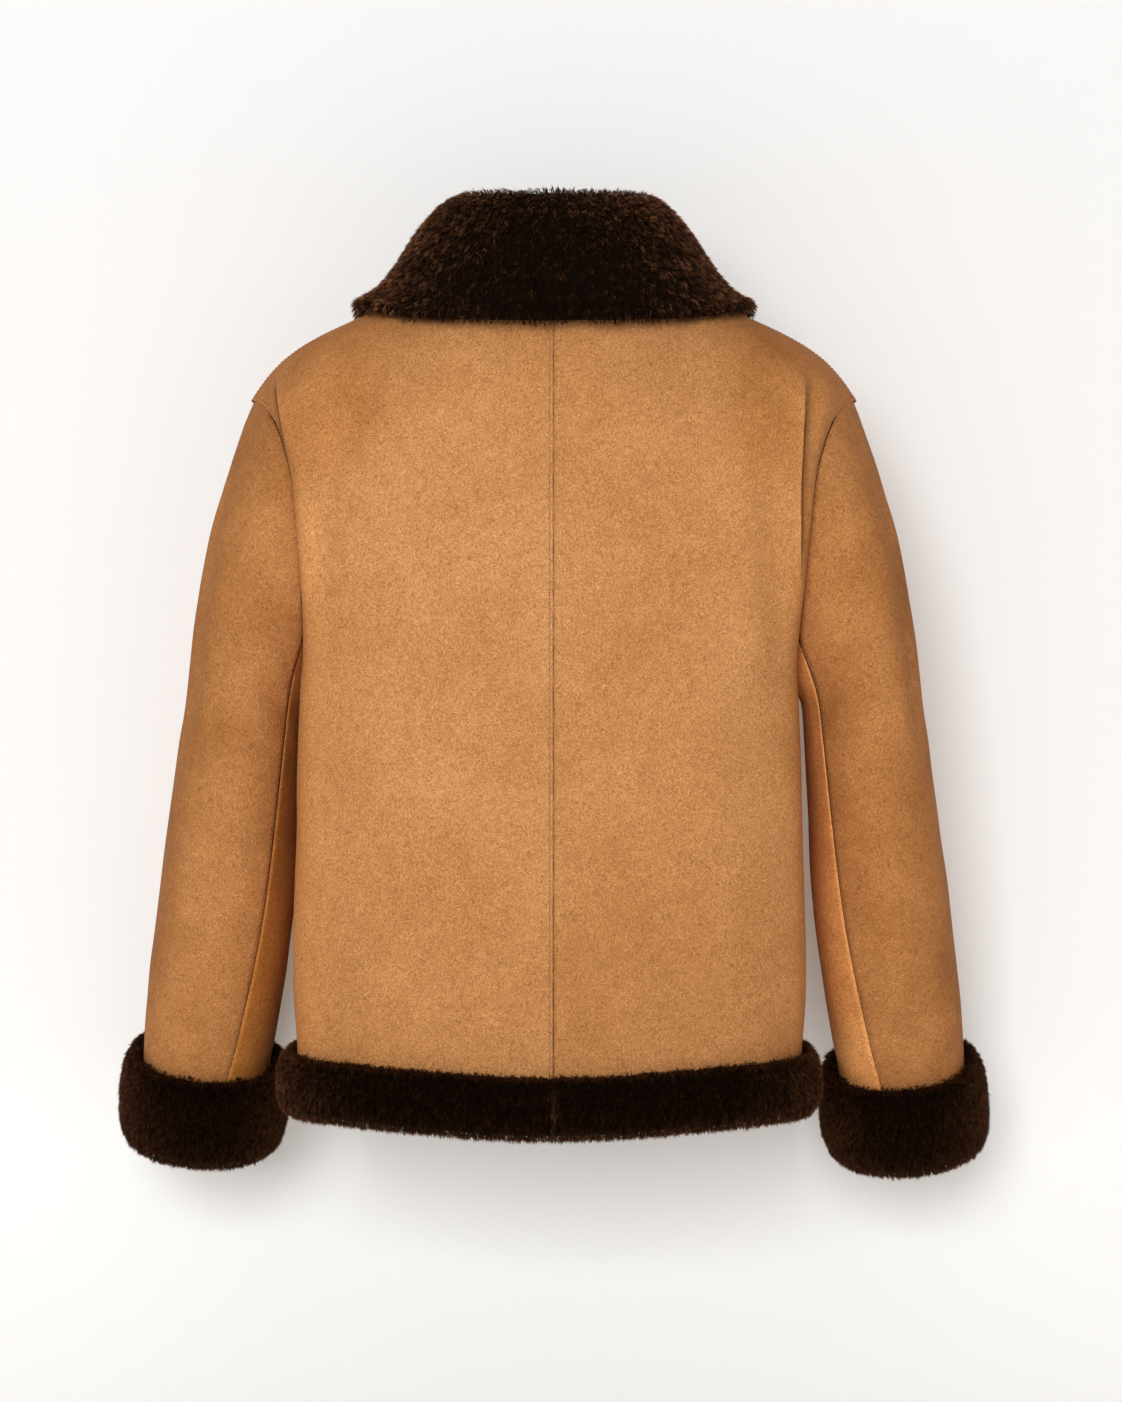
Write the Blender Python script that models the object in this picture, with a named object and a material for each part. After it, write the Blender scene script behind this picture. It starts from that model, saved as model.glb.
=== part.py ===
"""Hip-length faux suede jacket with faux fur collar, hem band and turned-back cuffs.

It stands filled out and hollow, as it is worn, with its arms hanging.
Frame: metres, +Z up, origin at the middle of the neck base, +X to the wearer's left,
the back faces +Y and the front faces -Y.

Every cloth piece is a wall. Its outer surface is a grid of points, rows by columns, worked
out from the section tables below. Its inner surface is the same grid moved in by the wall.
Pieces that are sewn together share the points of their seam, half a seam gap to each side.
Fur pieces are bands with a round section, swept along the edge that they are sewn to.
"""
import math

import bmesh
import bpy
import numpy as np
from mathutils import Vector
from mathutils.bvhtree import BVHTree

COLLECTION_NAME = "faux_fur_jacket"

# Cloth and seams
WALL = 0.003                # bonded faux suede with its plush backing
SEAM_GAP = 0.0003           # air between two pieces at a seam
FRONT_GAP = 0.0024          # the two fronts meet edge to edge at the centre front
SEWN = SEAM_GAP / 2
SHARP_OVER = 40.0           # edges of a wall that turn more than this many degrees are sharp

# Sides: name, sign of X, how much wider the body hangs there, how much longer the sleeve is
SIDES = (
    ("left", 1.0, 0.0035, 0.0),
    ("right", -1.0, -0.0035, 0.0065),
)

# Body
HEM_Z = -0.6245             # lower edge of the suede, inside the fur band
BAND_TOP_Z = -0.597         # the wall is upright from here down
ARMPIT_Z = -0.300
SHOULDER_BLADE_Z = -0.170   # level of the armhole's widest part
HEM_SIDE_RISE = 0.0095      # the hem is higher at the side seams than at the centre
ARMHOLE_HALF_DEPTH = 0.077

# Levels of the body below the shoulder blade: height at the centre, depth of the back and of
# the front at the centre, widest half width, half width at the side seam or armhole edge,
# and the squareness of the section
BODY_COLUMNS = ("z", "back", "front", "widest", "edge", "square")
BODY_LEVELS = (
    (HEM_Z, 0.1168, 0.1242, 0.1965, 0.1905, 3.0),
    (BAND_TOP_Z, 0.1168, 0.1242, 0.1965, 0.1905, 3.0),
    (-0.545, 0.1182, 0.1260, 0.2040, 0.1920, 3.0),
    (-0.500, 0.1190, 0.1268, 0.2030, 0.1905, 3.0),
    (-0.440, 0.1195, 0.1275, 0.2010, 0.1880, 3.0),
    (-0.360, 0.1200, 0.1275, 0.1985, 0.1840, 3.0),
    (ARMPIT_Z, 0.1200, 0.1270, 0.1955, 0.1818, 3.1),
    (-0.235, 0.1195, 0.1260, 0.1925, 0.1850, 3.3),
    (SHOULDER_BLADE_Z, 0.1180, 0.1225, 0.1965, 0.1940, 3.5),
)
BODY_ROWS = (HEM_Z, BAND_TOP_Z, -0.555, -0.500, -0.440, -0.380, -0.335, ARMPIT_Z,
             -0.282, -0.264, -0.245, -0.222, -0.197, SHOULDER_BLADE_Z)
LEVEL_POINTS = 241          # points that a level is worked out with before its columns
TURN_IN = 0.55              # share of the depth over which the widest part draws in to the edge

# Shoulder line, from the neck to the sleeve: half width and height
SHOULDER_LINE = (
    (0.0850, 0.0100), (0.1050, -0.0010), (0.1300, -0.0115), (0.1550, -0.0232),
    (0.1735, -0.0310), (0.1890, -0.0387), (0.2014, -0.0465), (0.2115, -0.0542),
    (0.2192, -0.0620), (0.2254, -0.0697), (0.2308, -0.0775), (0.2355, -0.0852),
)
SHOULDER_FORWARD = 0.005    # the shoulder seam runs this far forward at the sleeve
NECK_HALF_WIDTH = 0.085
NECK_BACK = 0.068           # centre back of the neck seam, behind the origin
NECK_FRONT = 0.098          # centre front of the neck seam, ahead of the origin
NECK_SIDE_Z = 0.010
NECK_FRONT_Z = -0.058
NECK_DROP = 2.2             # how late the front neck seam drops, going forward
NECK_EDGE_RISE = 1.33       # the neck edge faces inward and up, this steeply
NECK_SHARE = 0.40           # share of the top edge that is the neck seam
YOKE_STEPS = 6              # rows from the shoulder blade to the top edge
YOKE_ROUND_CENTRE = 2.0     # roundness of the yoke in side view, at the centre
YOKE_ROUND_SIDE = 2.2
YOKE_SPREAD = 1.25          # how late the armhole edge swings out to the shoulder point
BODY_STEPS_NECK = 7         # columns of a body panel under the neck seam
BODY_STEPS_SHOULDER = 9     # columns of a body panel under the shoulder seam

# Sleeve: height of the section's centre, its distance out and forward, its half width and
# half depth, and the angles of the back and front sleeve seams round it (0 faces out, 90 back)
SLEEVE_COLUMNS = ("z", "out", "forward", "half_width", "half_depth", "back_seam", "front_seam")
SLEEVE_LEVELS = (
    (-0.318, 0.2397, 0.0120, 0.0460, 0.0770, 142.0, 226.0),
    (-0.395, 0.2480, 0.0200, 0.0500, 0.0730, 135.0, 226.0),
    (-0.470, 0.2560, 0.0340, 0.0535, 0.0680, 127.0, 225.0),
    (-0.550, 0.2680, 0.0560, 0.0530, 0.0600, 118.0, 224.0),
    (-0.600, 0.2755, 0.0710, 0.0515, 0.0550, 113.0, 223.0),
    (-0.658, 0.2815, 0.0885, 0.0500, 0.0520, 111.0, 222.0),
)
SLEEVE_ROWS = (-0.318, -0.352, -0.388, -0.425, -0.464, -0.504, -0.545, -0.588)
SLEEVE_END_Z = -0.658
SLEEVE_SQUARE = 2.15
AXIS_STEP = 0.010           # the sleeve's direction is read over this far up and down
CUFF_STRAIGHT = 0.066       # the sleeve is a straight tube over this length under the cuff
CAP_STEPS = 6               # rows of the sleeve cap, from the armhole to the first section
ARMHOLE_BACK_SEAM = 150.0   # where the sleeve seams meet the armhole, in degrees round it
ARMHOLE_FRONT_SEAM = 226.0
# Direction in which the sleeve leaves the armhole: degrees round it, out, back, up
CAP_COLUMNS = ("angle", "out", "back", "up")
CAP_LEAVES = (
    (0.0, 0.33, 0.00, -0.94),
    (90.0, 0.80, 0.05, -0.60),
    (180.0, 0.12, 0.00, -1.00),
    (270.0, 0.80, -0.05, -0.60),
    (360.0, 0.33, 0.00, -0.94),
)

# Section of the fur hem band: out from the wall's outer side, up from the wall's lower edge
FUR_GAP = 0.0003
HEM_BAND_SECTION = (
    (FUR_GAP, 0.0210), (0.0050, 0.0285), (0.0115, 0.0265), (0.0155, 0.0170), (0.0163, 0.0030),
    (0.0140, -0.0100), (0.0080, -0.0175), (-0.0015, -0.0190), (-0.0095, -0.0160),
    (-0.0140, -0.0060), (-0.0135, 0.0060), (-0.0085, 0.0115), (-WALL - FUR_GAP, 0.0085),
    (-WALL - FUR_GAP, -FUR_GAP), (FUR_GAP, -FUR_GAP),
)
# Section of a fur cuff: out from the sleeve's outer side, up the arm from the sleeve's end
CUFF_SECTION = (
    (FUR_GAP, 0.0560), (0.0050, 0.0630), (0.0115, 0.0610), (0.0155, 0.0500), (0.0168, 0.0270),
    (0.0160, 0.0040), (0.0115, -0.0080), (0.0040, -0.0125), (-0.0055, -0.0120),
    (-0.0120, -0.0050), (-0.0130, 0.0070), (-0.0085, 0.0150), (-WALL - FUR_GAP, 0.0120),
    (-WALL - FUR_GAP, -FUR_GAP), (FUR_GAP, -FUR_GAP),
)

# Fur collar, from the centre back (0) past the neck's side (1) to the centre front (2):
# where the roll is highest and where the leaf ends, both out and up from the neck seam,
# how far the leaf leans from upright in degrees, and the thickness of the leaf
COLLAR_COLUMNS = ("station", "roll_out", "roll_up", "leaf_out", "leaf_up", "lean", "thick")
COLLAR_STATIONS = (
    (0.0, -0.0020, 0.0675, 0.0510, -0.0340, 8.0, 0.0150),
    (0.5, -0.0050, 0.0645, 0.0590, -0.0340, 26.0, 0.0145),
    (1.0, -0.0105, 0.0575, 0.0660, -0.0340, 42.0, 0.0125),
    (1.5, -0.0040, 0.0500, 0.0660, -0.0545, 26.0, 0.0140),
    (2.0, 0.0010, 0.0380, 0.0480, -0.0900, 10.0, 0.0150),
)
ROLL_WIDTH = 0.026          # how far the roll's top runs out before it falls
LEAF_RUN = 0.030            # length over which the leaf's lean is held above its edge
COLLAR_CLEARANCE = 0.0042   # the collar leaf lies this far off the shoulders
LEAF_POINTS = 8             # points of the outline down the outside of the leaf
LEAF_THIN = 0.009           # the leaf stays at least this thick where it lies on the shoulders
LEAF_EDGE_IN = 0.55         # the leaf's edge lies this share of its thickness in
LEAF_EDGE_DOWN = 0.0035     # and this far below the end of its outside
STAND_FUR = 0.0125          # fur on the neck side of the collar stand
# Fur on the stand, going up from the neck seam: share of the height, share of STAND_FUR
STAND_SHARES = ((0.25, 0.7), (0.6, 1.0))
STAND_TOP_SHARE = 0.8       # share of STAND_FUR just under the roll
STAND_TOP_DROP = 0.007

SUEDE_COLOUR = (0.60, 0.27, 0.10, 1.0)
FUR_COLOUR = (0.010, 0.0045, 0.0025, 1.0)


def smooth(value):
    """Ease from 0 to 1 with level ends."""
    value = np.clip(value, 0.0, 1.0)
    return value * value * (3.0 - 2.0 * value)


def curve_through(knots, values, at):
    """Smooth curve through the values at the knots (ascending), read at the places given."""
    knots = np.asarray(knots, float)
    values = np.asarray(values, float)
    at = np.clip(np.asarray(at, float), knots[0], knots[-1])
    slopes = np.gradient(values, knots)
    index = np.clip(np.searchsorted(knots, at, side="right") - 1, 0, len(knots) - 2)
    span = knots[index + 1] - knots[index]
    t = (at - knots[index]) / span
    start = (2 * t**3 - 3 * t**2 + 1) * values[index] + (t**3 - 2 * t**2 + t) * span * slopes[index]
    end = (3 * t**2 - 2 * t**3) * values[index + 1] + (t**3 - t**2) * span * slopes[index + 1]
    return start + end


def read_table(table, columns, at):
    """Every column of a table, read at a value of its first column."""
    rows = np.array(sorted(table))
    return {name: float(curve_through(rows[:, 0], rows[:, k], at))
            for k, name in enumerate(columns)}


def resample(points, shares):
    """Points at the given shares of the length of a polyline."""
    steps = np.linalg.norm(np.diff(points, axis=0), axis=1)
    along = np.concatenate(([0.0], np.cumsum(steps))) / steps.sum()
    return np.stack([np.interp(shares, along, points[:, k]) for k in range(3)], axis=1)


def unit(vectors):
    """Vectors scaled to length 1."""
    vectors = np.asarray(vectors, float)
    return vectors / np.maximum(np.linalg.norm(vectors, axis=-1, keepdims=True), 1e-12)


def grid_normals(grid, closed, sign):
    """Normals of a grid of points; closed says that its columns run all the way round."""
    along = np.gradient(grid, axis=0)
    if closed:
        across = np.roll(grid, -1, axis=1) - np.roll(grid, 1, axis=1)
    else:
        across = np.gradient(grid, axis=1)
    return sign * unit(np.cross(along, across))


# ---------------------------------------------------------------- body

def body_shares():
    """Shares of a body panel's width at which its columns lie."""
    under_neck = np.linspace(0.0, NECK_SHARE, BODY_STEPS_NECK + 1)
    under_shoulder = np.linspace(NECK_SHARE, 1.0, BODY_STEPS_SHOULDER + 1)
    return np.concatenate((under_neck, under_shoulder[1:]))


def body_level(z, face, wider):
    """One level of a body panel, from the centre to the side seam or the armhole edge."""
    level = read_table(BODY_LEVELS, BODY_COLUMNS, z)
    fade = float(smooth((SHOULDER_BLADE_Z - z) / (SHOULDER_BLADE_Z - ARMPIT_Z)))
    widest = level["widest"] + wider * fade
    edge_x = level["edge"] + wider * fade
    depth = level["back"] if face > 0 else level["front"]
    if z <= ARMPIT_Z:
        edge_y = 0.0
        floor_y = 0.0
        edge_z = z + HEM_SIDE_RISE * float(smooth((z - ARMPIT_Z) / (HEM_Z - ARMPIT_Z)))
    else:
        climb = (z - ARMPIT_Z) / (SHOULDER_BLADE_Z - ARMPIT_Z)
        turn = math.pi / 2 * climb
        edge_y = ARMHOLE_HALF_DEPTH * math.sin(turn)
        edge_z = SHOULDER_BLADE_Z - (SHOULDER_BLADE_Z - ARMPIT_Z) * math.cos(turn)
        floor_y = edge_y * float(smooth(climb))
    angle = np.linspace(0.0, math.pi / 2, LEVEL_POINTS)
    power = 2.0 / level["square"]
    back_share = np.maximum(np.cos(angle), 0.0) ** power
    x = widest * np.sin(angle) ** power
    x -= (widest - edge_x) * (1.0 - smooth(back_share / TURN_IN))
    y = floor_y + (depth - floor_y) * back_share
    kept = y > edge_y
    x = np.append(x[kept], np.interp(edge_y, y[::-1], x[::-1]))
    y = np.append(y[kept], edge_y)
    z_line = z + (edge_z - z) * smooth(x / x.max())
    return resample(np.stack((x, face * y, z_line), axis=1), body_shares())


def top_edge(face):
    """Top edge of a body panel: the neck seam, then the shoulder seam."""
    neck = math.pi / 2 * np.linspace(0.0, 1.0, BODY_STEPS_NECK + 1)
    neck_x = NECK_HALF_WIDTH * np.sin(neck)
    if face > 0:
        neck_y = NECK_BACK * np.cos(neck)
        neck_z = NECK_SIDE_Z * np.sin(neck) ** 2
    else:
        neck_y = -NECK_FRONT * np.cos(neck)
        neck_z = NECK_SIDE_Z + (NECK_FRONT_Z - NECK_SIDE_Z) * np.cos(neck) ** NECK_DROP
    line = np.array(SHOULDER_LINE)
    forward = -SHOULDER_FORWARD * (line[:, 0] - line[0, 0]) / (line[-1, 0] - line[0, 0])
    seam = np.stack((line[:, 0], forward, line[:, 1]), axis=1)
    seam = resample(seam, np.linspace(0.0, 1.0, BODY_STEPS_SHOULDER + 1))
    neck_seam = np.stack((neck_x, neck_y, neck_z), axis=1)
    return np.concatenate((neck_seam, seam[1:]))


def body_panel(face, wider):
    """Outer surface of a left body panel, from its hem up, from its centre to its side."""
    levels = [body_level(z, face, wider) for z in BODY_ROWS]
    blade = levels[-1]
    top = top_edge(face)
    shares = body_shares()
    roundness = YOKE_ROUND_CENTRE + (YOKE_ROUND_SIDE - YOKE_ROUND_CENTRE) * smooth(
        shares / NECK_SHARE)
    for step in range(1, YOKE_STEPS + 1):
        turn = math.pi / 2 * step / YOKE_STEPS
        level_share = max(math.cos(turn), 0.0) ** (2.0 / roundness)
        rise_share = math.sin(turn) ** (2.0 / roundness)
        row = top.copy()
        row[:, 0] = blade[:, 0] + (top[:, 0] - blade[:, 0]) * (step / YOKE_STEPS) ** YOKE_SPREAD
        row[:, 1] = top[:, 1] + (blade[:, 1] - top[:, 1]) * level_share
        row[:, 2] = blade[:, 2] + (top[:, 2] - blade[:, 2]) * rise_share
        levels.append(row)
    levels[-1] = top
    return np.array(levels)


ARMPIT_ROW = BODY_ROWS.index(ARMPIT_Z)


def body_normals(grid, face):
    """Outward normals of a body panel, kept in the plane of each straight seam."""
    normals = grid_normals(grid, False, face)
    normals[:, 0, 0] = 0.0
    normals[:ARMPIT_ROW + 1, -1, 1] = 0.0
    normals[-1, BODY_STEPS_NECK:, 1] = 0.0
    neck = np.gradient(grid[-1, :BODY_STEPS_NECK + 1], axis=0)
    outward = unit(np.stack((-neck[:, 1], neck[:, 0], np.zeros(len(neck))), axis=1)) * face
    outward[0] = (0.0, face, 0.0)
    outward[-1] = (1.0, 0.0, 0.0)
    normals[-1, :BODY_STEPS_NECK + 1] = outward + (0.0, 0.0, NECK_EDGE_RISE)
    normals[0, :, 2] = 0.0
    normals[1] = normals[0]
    return unit(normals)


# ---------------------------------------------------------------- sleeve

def sleeve_centre(z, longer):
    """Centre of a sleeve section; a longer sleeve drops evenly from the armpit down."""
    level = read_table(SLEEVE_LEVELS, SLEEVE_COLUMNS, z)
    drop = longer * (SLEEVE_ROWS[0] - z) / (SLEEVE_ROWS[0] - SLEEVE_END_Z)
    return np.array((level["out"], -level["forward"], z - drop))


def sleeve_axis(z, longer):
    """Direction of the sleeve, down the arm."""
    upper = min(z + AXIS_STEP, SLEEVE_ROWS[0])
    lower = max(z - AXIS_STEP, SLEEVE_END_Z)
    return unit(sleeve_centre(lower, longer) - sleeve_centre(upper, longer))


def section_frame(axis):
    """Outward and backward directions of a section that faces down the axis."""
    out = unit(np.array((1.0, 0.0, 0.0)) - axis * axis[0])
    return out, np.cross(out, axis)


def section_ring(centre, axis, half_width, half_depth, degrees):
    """Points round a sleeve section at the given angles, 0 facing out and 90 back."""
    out, back = section_frame(axis)
    angle = np.radians(degrees)
    power = 2.0 / SLEEVE_SQUARE
    width = half_width * np.sign(np.cos(angle)) * np.abs(np.cos(angle)) ** power
    depth = half_depth * np.sign(np.sin(angle)) * np.abs(np.sin(angle)) ** power
    return centre + width[:, None] * out + depth[:, None] * back


def armhole_loop(back, front):
    """Armhole edge from the shoulder point down the back to the armpit and up the front."""
    down_back = back[ARMPIT_ROW:, -1][::-1]
    up_front = front[ARMPIT_ROW:, -1]
    return np.concatenate((down_back, up_front[1:-1]))


def loop_degrees(loop):
    """Angle of each armhole point, by its share of the way down the back and up the front."""
    half = len(loop) // 2
    closed = np.concatenate((loop, loop[:1]))
    steps = np.linalg.norm(np.diff(closed, axis=0), axis=1)
    down = np.concatenate(([0.0], np.cumsum(steps[:half])))
    up = np.concatenate(([0.0], np.cumsum(steps[half:])))
    return np.concatenate((180.0 * down / down[-1], 180.0 + 180.0 * up[1:-1] / up[-1]))


def seam_columns(degrees):
    """Columns of the sleeve on which its back and front seams lie."""
    back = int(np.argmin(np.abs(degrees - ARMHOLE_BACK_SEAM)))
    front = int(np.argmin(np.abs(degrees - ARMHOLE_FRONT_SEAM)))
    return back, front


def ring_degrees(degrees, columns, back_angle, front_angle):
    """Angles of the sleeve's columns at a section where its seams have the given angles."""
    back, front = columns
    under = (degrees - degrees[back]) / (degrees[front] - degrees[back])
    over = np.where(degrees >= degrees[front], degrees - 360.0, degrees)
    over = (over - (degrees[front] - 360.0)) / (degrees[back] - degrees[front] + 360.0)
    on_under = (degrees >= degrees[back]) & (degrees <= degrees[front])
    under_angle = back_angle + (front_angle - back_angle) * under
    over_angle = front_angle - 360.0 + (back_angle - front_angle + 360.0) * over
    return np.where(on_under, under_angle, over_angle)


def cap_row(loop, leave, ring, axis, share):
    """One row of the sleeve cap, on curves from the armhole to the first full section."""
    reach = np.linalg.norm(ring - loop, axis=1)[:, None]
    t = share
    return ((2 * t**3 - 3 * t**2 + 1) * loop + (t**3 - 2 * t**2 + t) * reach * leave
            + (3 * t**2 - 2 * t**3) * ring + (t**3 - t**2) * reach * axis)


def sleeve_tube(loop, longer):
    """Outer surface of a whole left sleeve, its seam columns and the axis at its end."""
    degrees = loop_degrees(loop)
    columns = seam_columns(degrees)
    rings = []
    for z in SLEEVE_ROWS:
        level = read_table(SLEEVE_LEVELS, SLEEVE_COLUMNS, z)
        angles = ring_degrees(degrees, columns, level["back_seam"], level["front_seam"])
        rings.append(section_ring(sleeve_centre(z, longer), sleeve_axis(z, longer),
                                  level["half_width"], level["half_depth"], angles))
    end = read_table(SLEEVE_LEVELS, SLEEVE_COLUMNS, SLEEVE_END_Z)
    end_axis = sleeve_axis(SLEEVE_END_Z, longer)
    angles = ring_degrees(degrees, columns, end["back_seam"], end["front_seam"])
    end_ring = section_ring(sleeve_centre(SLEEVE_END_Z, longer), end_axis,
                            end["half_width"], end["half_depth"], angles)
    rings += [end_ring - CUFF_STRAIGHT * end_axis, end_ring]
    rows = np.array(CAP_LEAVES)
    leave = unit(np.stack([curve_through(rows[:, 0], rows[:, k], degrees)
                           for k in range(1, len(CAP_COLUMNS))], axis=1))
    first_axis = sleeve_axis(SLEEVE_ROWS[0], longer)
    cap = [cap_row(loop, leave, rings[0], first_axis, step / CAP_STEPS)
           for step in range(CAP_STEPS)]
    return np.array(cap + rings), columns, end_axis


def armhole_seam(loop, body_normal, sleeve_normal):
    """Shared normals of the armhole seam, and the directions across it to the sleeve."""
    centre = loop.mean(axis=0)
    radial = loop - centre
    radial[:, 0] = 0.0
    normal = unit(body_normal + sleeve_normal + unit(radial))
    along = unit(np.roll(loop, -1, axis=0) - np.roll(loop, 1, axis=0))
    across = unit(np.cross(normal, along))
    across *= np.sign(across[:, :1])
    square = unit(np.cross(along, across))
    facing = np.sign(np.sum(square * normal, axis=1, keepdims=True))
    return square * facing, across


# ---------------------------------------------------------------- meshes

def mirrored(points, sign):
    """Points of the left side, or the same points on the right side."""
    return np.asarray(points) * np.array((sign, 1.0, 1.0))


def plain_material(name, colour, roughness):
    """A Principled material of one colour."""
    material = bpy.data.materials.new(name)
    material.use_nodes = True
    shader = material.node_tree.nodes["Principled BSDF"]
    shader.inputs["Base Color"].default_value = colour
    shader.inputs["Roughness"].default_value = roughness
    shader.inputs["Metallic"].default_value = 0.0
    return material


def add_object(name, bm, collection, material):
    """Put a finished mesh into the scene, its faces turned outward."""
    bmesh.ops.triangulate(bm, faces=[face for face in bm.faces if len(face.verts) > 4])
    bmesh.ops.recalc_face_normals(bm, faces=bm.faces)
    if bm.calc_volume(signed=True) < 0.0:
        bmesh.ops.reverse_faces(bm, faces=bm.faces)
    mesh = bpy.data.meshes.new(name)
    bm.to_mesh(mesh)
    bm.free()
    mesh.materials.append(material)
    mesh.shade_smooth()
    mesh.set_sharp_from_angle(angle=math.radians(SHARP_OVER))
    node = bpy.data.objects.new(name, mesh)
    collection.objects.link(node)
    return node


def add_wall(name, outer, inner, collection, material):
    """A wall between two grids of points, closed round its four edges."""
    rows, columns = outer.shape[:2]
    bm = bmesh.new()
    faces = [[[bm.verts.new(point) for point in row] for row in grid] for grid in (outer, inner)]
    for grid in faces:
        for i in range(rows - 1):
            for j in range(columns - 1):
                bm.faces.new((grid[i][j], grid[i][j + 1], grid[i + 1][j + 1], grid[i + 1][j]))
    rim = [(0, j) for j in range(columns)]
    rim += [(i, columns - 1) for i in range(1, rows)]
    rim += [(rows - 1, j) for j in range(columns - 2, -1, -1)]
    rim += [(i, 0) for i in range(rows - 2, 0, -1)]
    for (i, j), (m, n) in zip(rim, rim[1:] + rim[:1]):
        corners = (faces[0][i][j], faces[0][m][n], faces[1][m][n], faces[1][i][j])
        first = (corners[0].co - corners[2].co).length <= (corners[1].co - corners[3].co).length
        turn = 0 if first else 1
        quad = corners[turn:] + corners[:turn]
        bm.faces.new((quad[0], quad[1], quad[2]))
        bm.faces.new((quad[0], quad[2], quad[3]))
    return add_object(name, bm, collection, material)


def add_sweep(name, stations, closed, collection, material):
    """A band whose section is a closed outline at each station; open bands get flat ends."""
    bm = bmesh.new()
    outlines = [[bm.verts.new(point) for point in outline] for outline in stations]
    pairs = list(zip(outlines, outlines[1:]))
    if closed:
        pairs.append((outlines[-1], outlines[0]))
    for first, second in pairs:
        for k in range(len(first)):
            m = (k + 1) % len(first)
            bm.faces.new((first[k], first[m], second[m], second[k]))
    if not closed:
        bm.faces.new(outlines[0])
        bm.faces.new(list(reversed(outlines[-1])))
    return add_object(name, bm, collection, material)


# ---------------------------------------------------------------- fur pieces

def hem_band(back, front, back_normals, front_normals):
    """Outlines of a left hem band, from the centre back round the side to the centre front."""
    edge = np.concatenate((back[0], front[0][::-1][1:]))
    normals = np.concatenate((back_normals[0], front_normals[0][::-1][1:]))
    edge[BODY_STEPS_NECK + BODY_STEPS_SHOULDER, 1] = 0.0
    up = np.array((0.0, 0.0, 1.0))
    return [[point + out * normal + rise * up for out, rise in HEM_BAND_SECTION]
            for point, normal in zip(edge, normals)]


def cuff(end_ring, end_axis, centre):
    """Outlines of a left cuff, all the way round the sleeve's end."""
    normals = grid_normals(np.array((end_ring - end_axis, end_ring)), True, 1.0)[0]
    normals *= np.sign(np.sum(normals * (end_ring - centre), axis=1, keepdims=True))
    return [[point + out * normal - rise * end_axis for out, rise in CUFF_SECTION]
            for point, normal in zip(end_ring, normals)]


def collar_outline(foot_out, foot_in, outward, station):
    """Outline of the collar at one station of the neck seam: stand, roll and leaf."""
    shape = read_table(COLLAR_STATIONS, COLLAR_COLUMNS, station)
    roll = np.array((shape["roll_out"], shape["roll_up"]))
    tip = np.array((shape["leaf_out"], shape["leaf_up"]))
    lean = math.radians(shape["lean"])
    fall = np.array((math.sin(lean), -math.cos(lean)))
    control = np.array((roll, roll + (ROLL_WIDTH, 0.0), tip - LEAF_RUN * fall, tip))
    t = np.linspace(0.0, 1.0, LEAF_POINTS)[:, None]
    leaf = ((1 - t)**3 * control[0] + 3 * t * (1 - t)**2 * control[1]
            + 3 * t**2 * (1 - t) * control[2] + t**3 * control[3])
    tangent = unit(np.gradient(leaf, axis=0))
    inward = np.stack((tangent[:, 1], -tangent[:, 0]), axis=1)
    under = (leaf + shape["thick"] * inward)[2:-1][::-1]
    edge = tip + LEAF_EDGE_IN * shape["thick"] * inward[-1] + LEAF_EDGE_DOWN * fall
    flat = list(leaf) + [edge] + list(under)
    world = [foot_out + out * outward + np.array((0.0, 0.0, up)) for out, up in flat]
    stand_top = world[-1]
    world.append(0.5 * (stand_top + foot_out))
    world += [foot_out, foot_in]
    for share, thick in STAND_SHARES:
        middle = foot_in + share * (world[0] - foot_in)
        world.append(middle - thick * STAND_FUR * outward)
    down = np.array((0.0, 0.0, -STAND_TOP_DROP))
    world.append(world[0] - STAND_TOP_SHARE * STAND_FUR * outward + down)
    return world, len(flat)


def neck_seam(back, front, back_normals, front_normals):
    """Neck seam from the centre back to the centre front: points, normals and stations."""
    last = BODY_STEPS_NECK + 1
    points = np.concatenate((back[-1, :last], front[-1, :last][::-1][1:]))
    normals = np.concatenate((back_normals[-1, :last], front_normals[-1, :last][::-1][1:]))
    stations = np.linspace(0.0, 2.0, len(points))
    return points, normals, stations


def keep_clear(point, surface, clearance):
    """Move a point out from the body's surface until it is clear of it."""
    place, normal, _, _ = surface.find_nearest(Vector(point))
    depth = (Vector(point) - place).dot(normal)
    if depth >= clearance:
        return np.array(point)
    return np.array(Vector(point) + normal * (clearance - depth))


def collar_half(points, normals, stations, surface):
    """Outlines of the left half of the collar, from the centre back to the centre front."""
    along = unit(np.gradient(points, axis=0))
    outlines = []
    for point, normal, way, station in zip(points, normals, along, stations):
        outward = unit(np.array((-way[1], way[0], 0.0)))
        if station in (0.0, 2.0):
            outward = np.array((0.0, 1.0 - station, 0.0))
        rise = unit(np.cross(normal, way))
        rise *= np.sign(rise[2])
        foot_out = point + SEAM_GAP * rise
        foot_in = foot_out - WALL * normal
        outline, leaf_points = collar_outline(foot_out, foot_in, outward, station)
        for k in range(1, leaf_points):
            clearance = COLLAR_CLEARANCE
            if k < LEAF_POINTS:
                clearance += LEAF_THIN
            outline[k] = keep_clear(outline[k], surface, clearance)
        if station in (0.0, 2.0):
            for vertex in outline:
                vertex[0] = point[0]
        outlines.append(outline)
    return outlines


def surface_tree(grids):
    """Search tree over the outer surface of the body, faces outward."""
    points = []
    faces = []
    for grid, face in grids:
        rows, columns = grid.shape[:2]
        first = len(points)
        points += [tuple(point) for point in grid.reshape(-1, 3)]
        for i in range(rows - 1):
            for j in range(columns - 1):
                corner = first + i * columns + j
                quad = (corner, corner + 1, corner + columns + 1, corner + columns)
                faces.append(quad if face < 0 else quad[::-1])
    return BVHTree.FromPolygons(points, faces)


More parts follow.
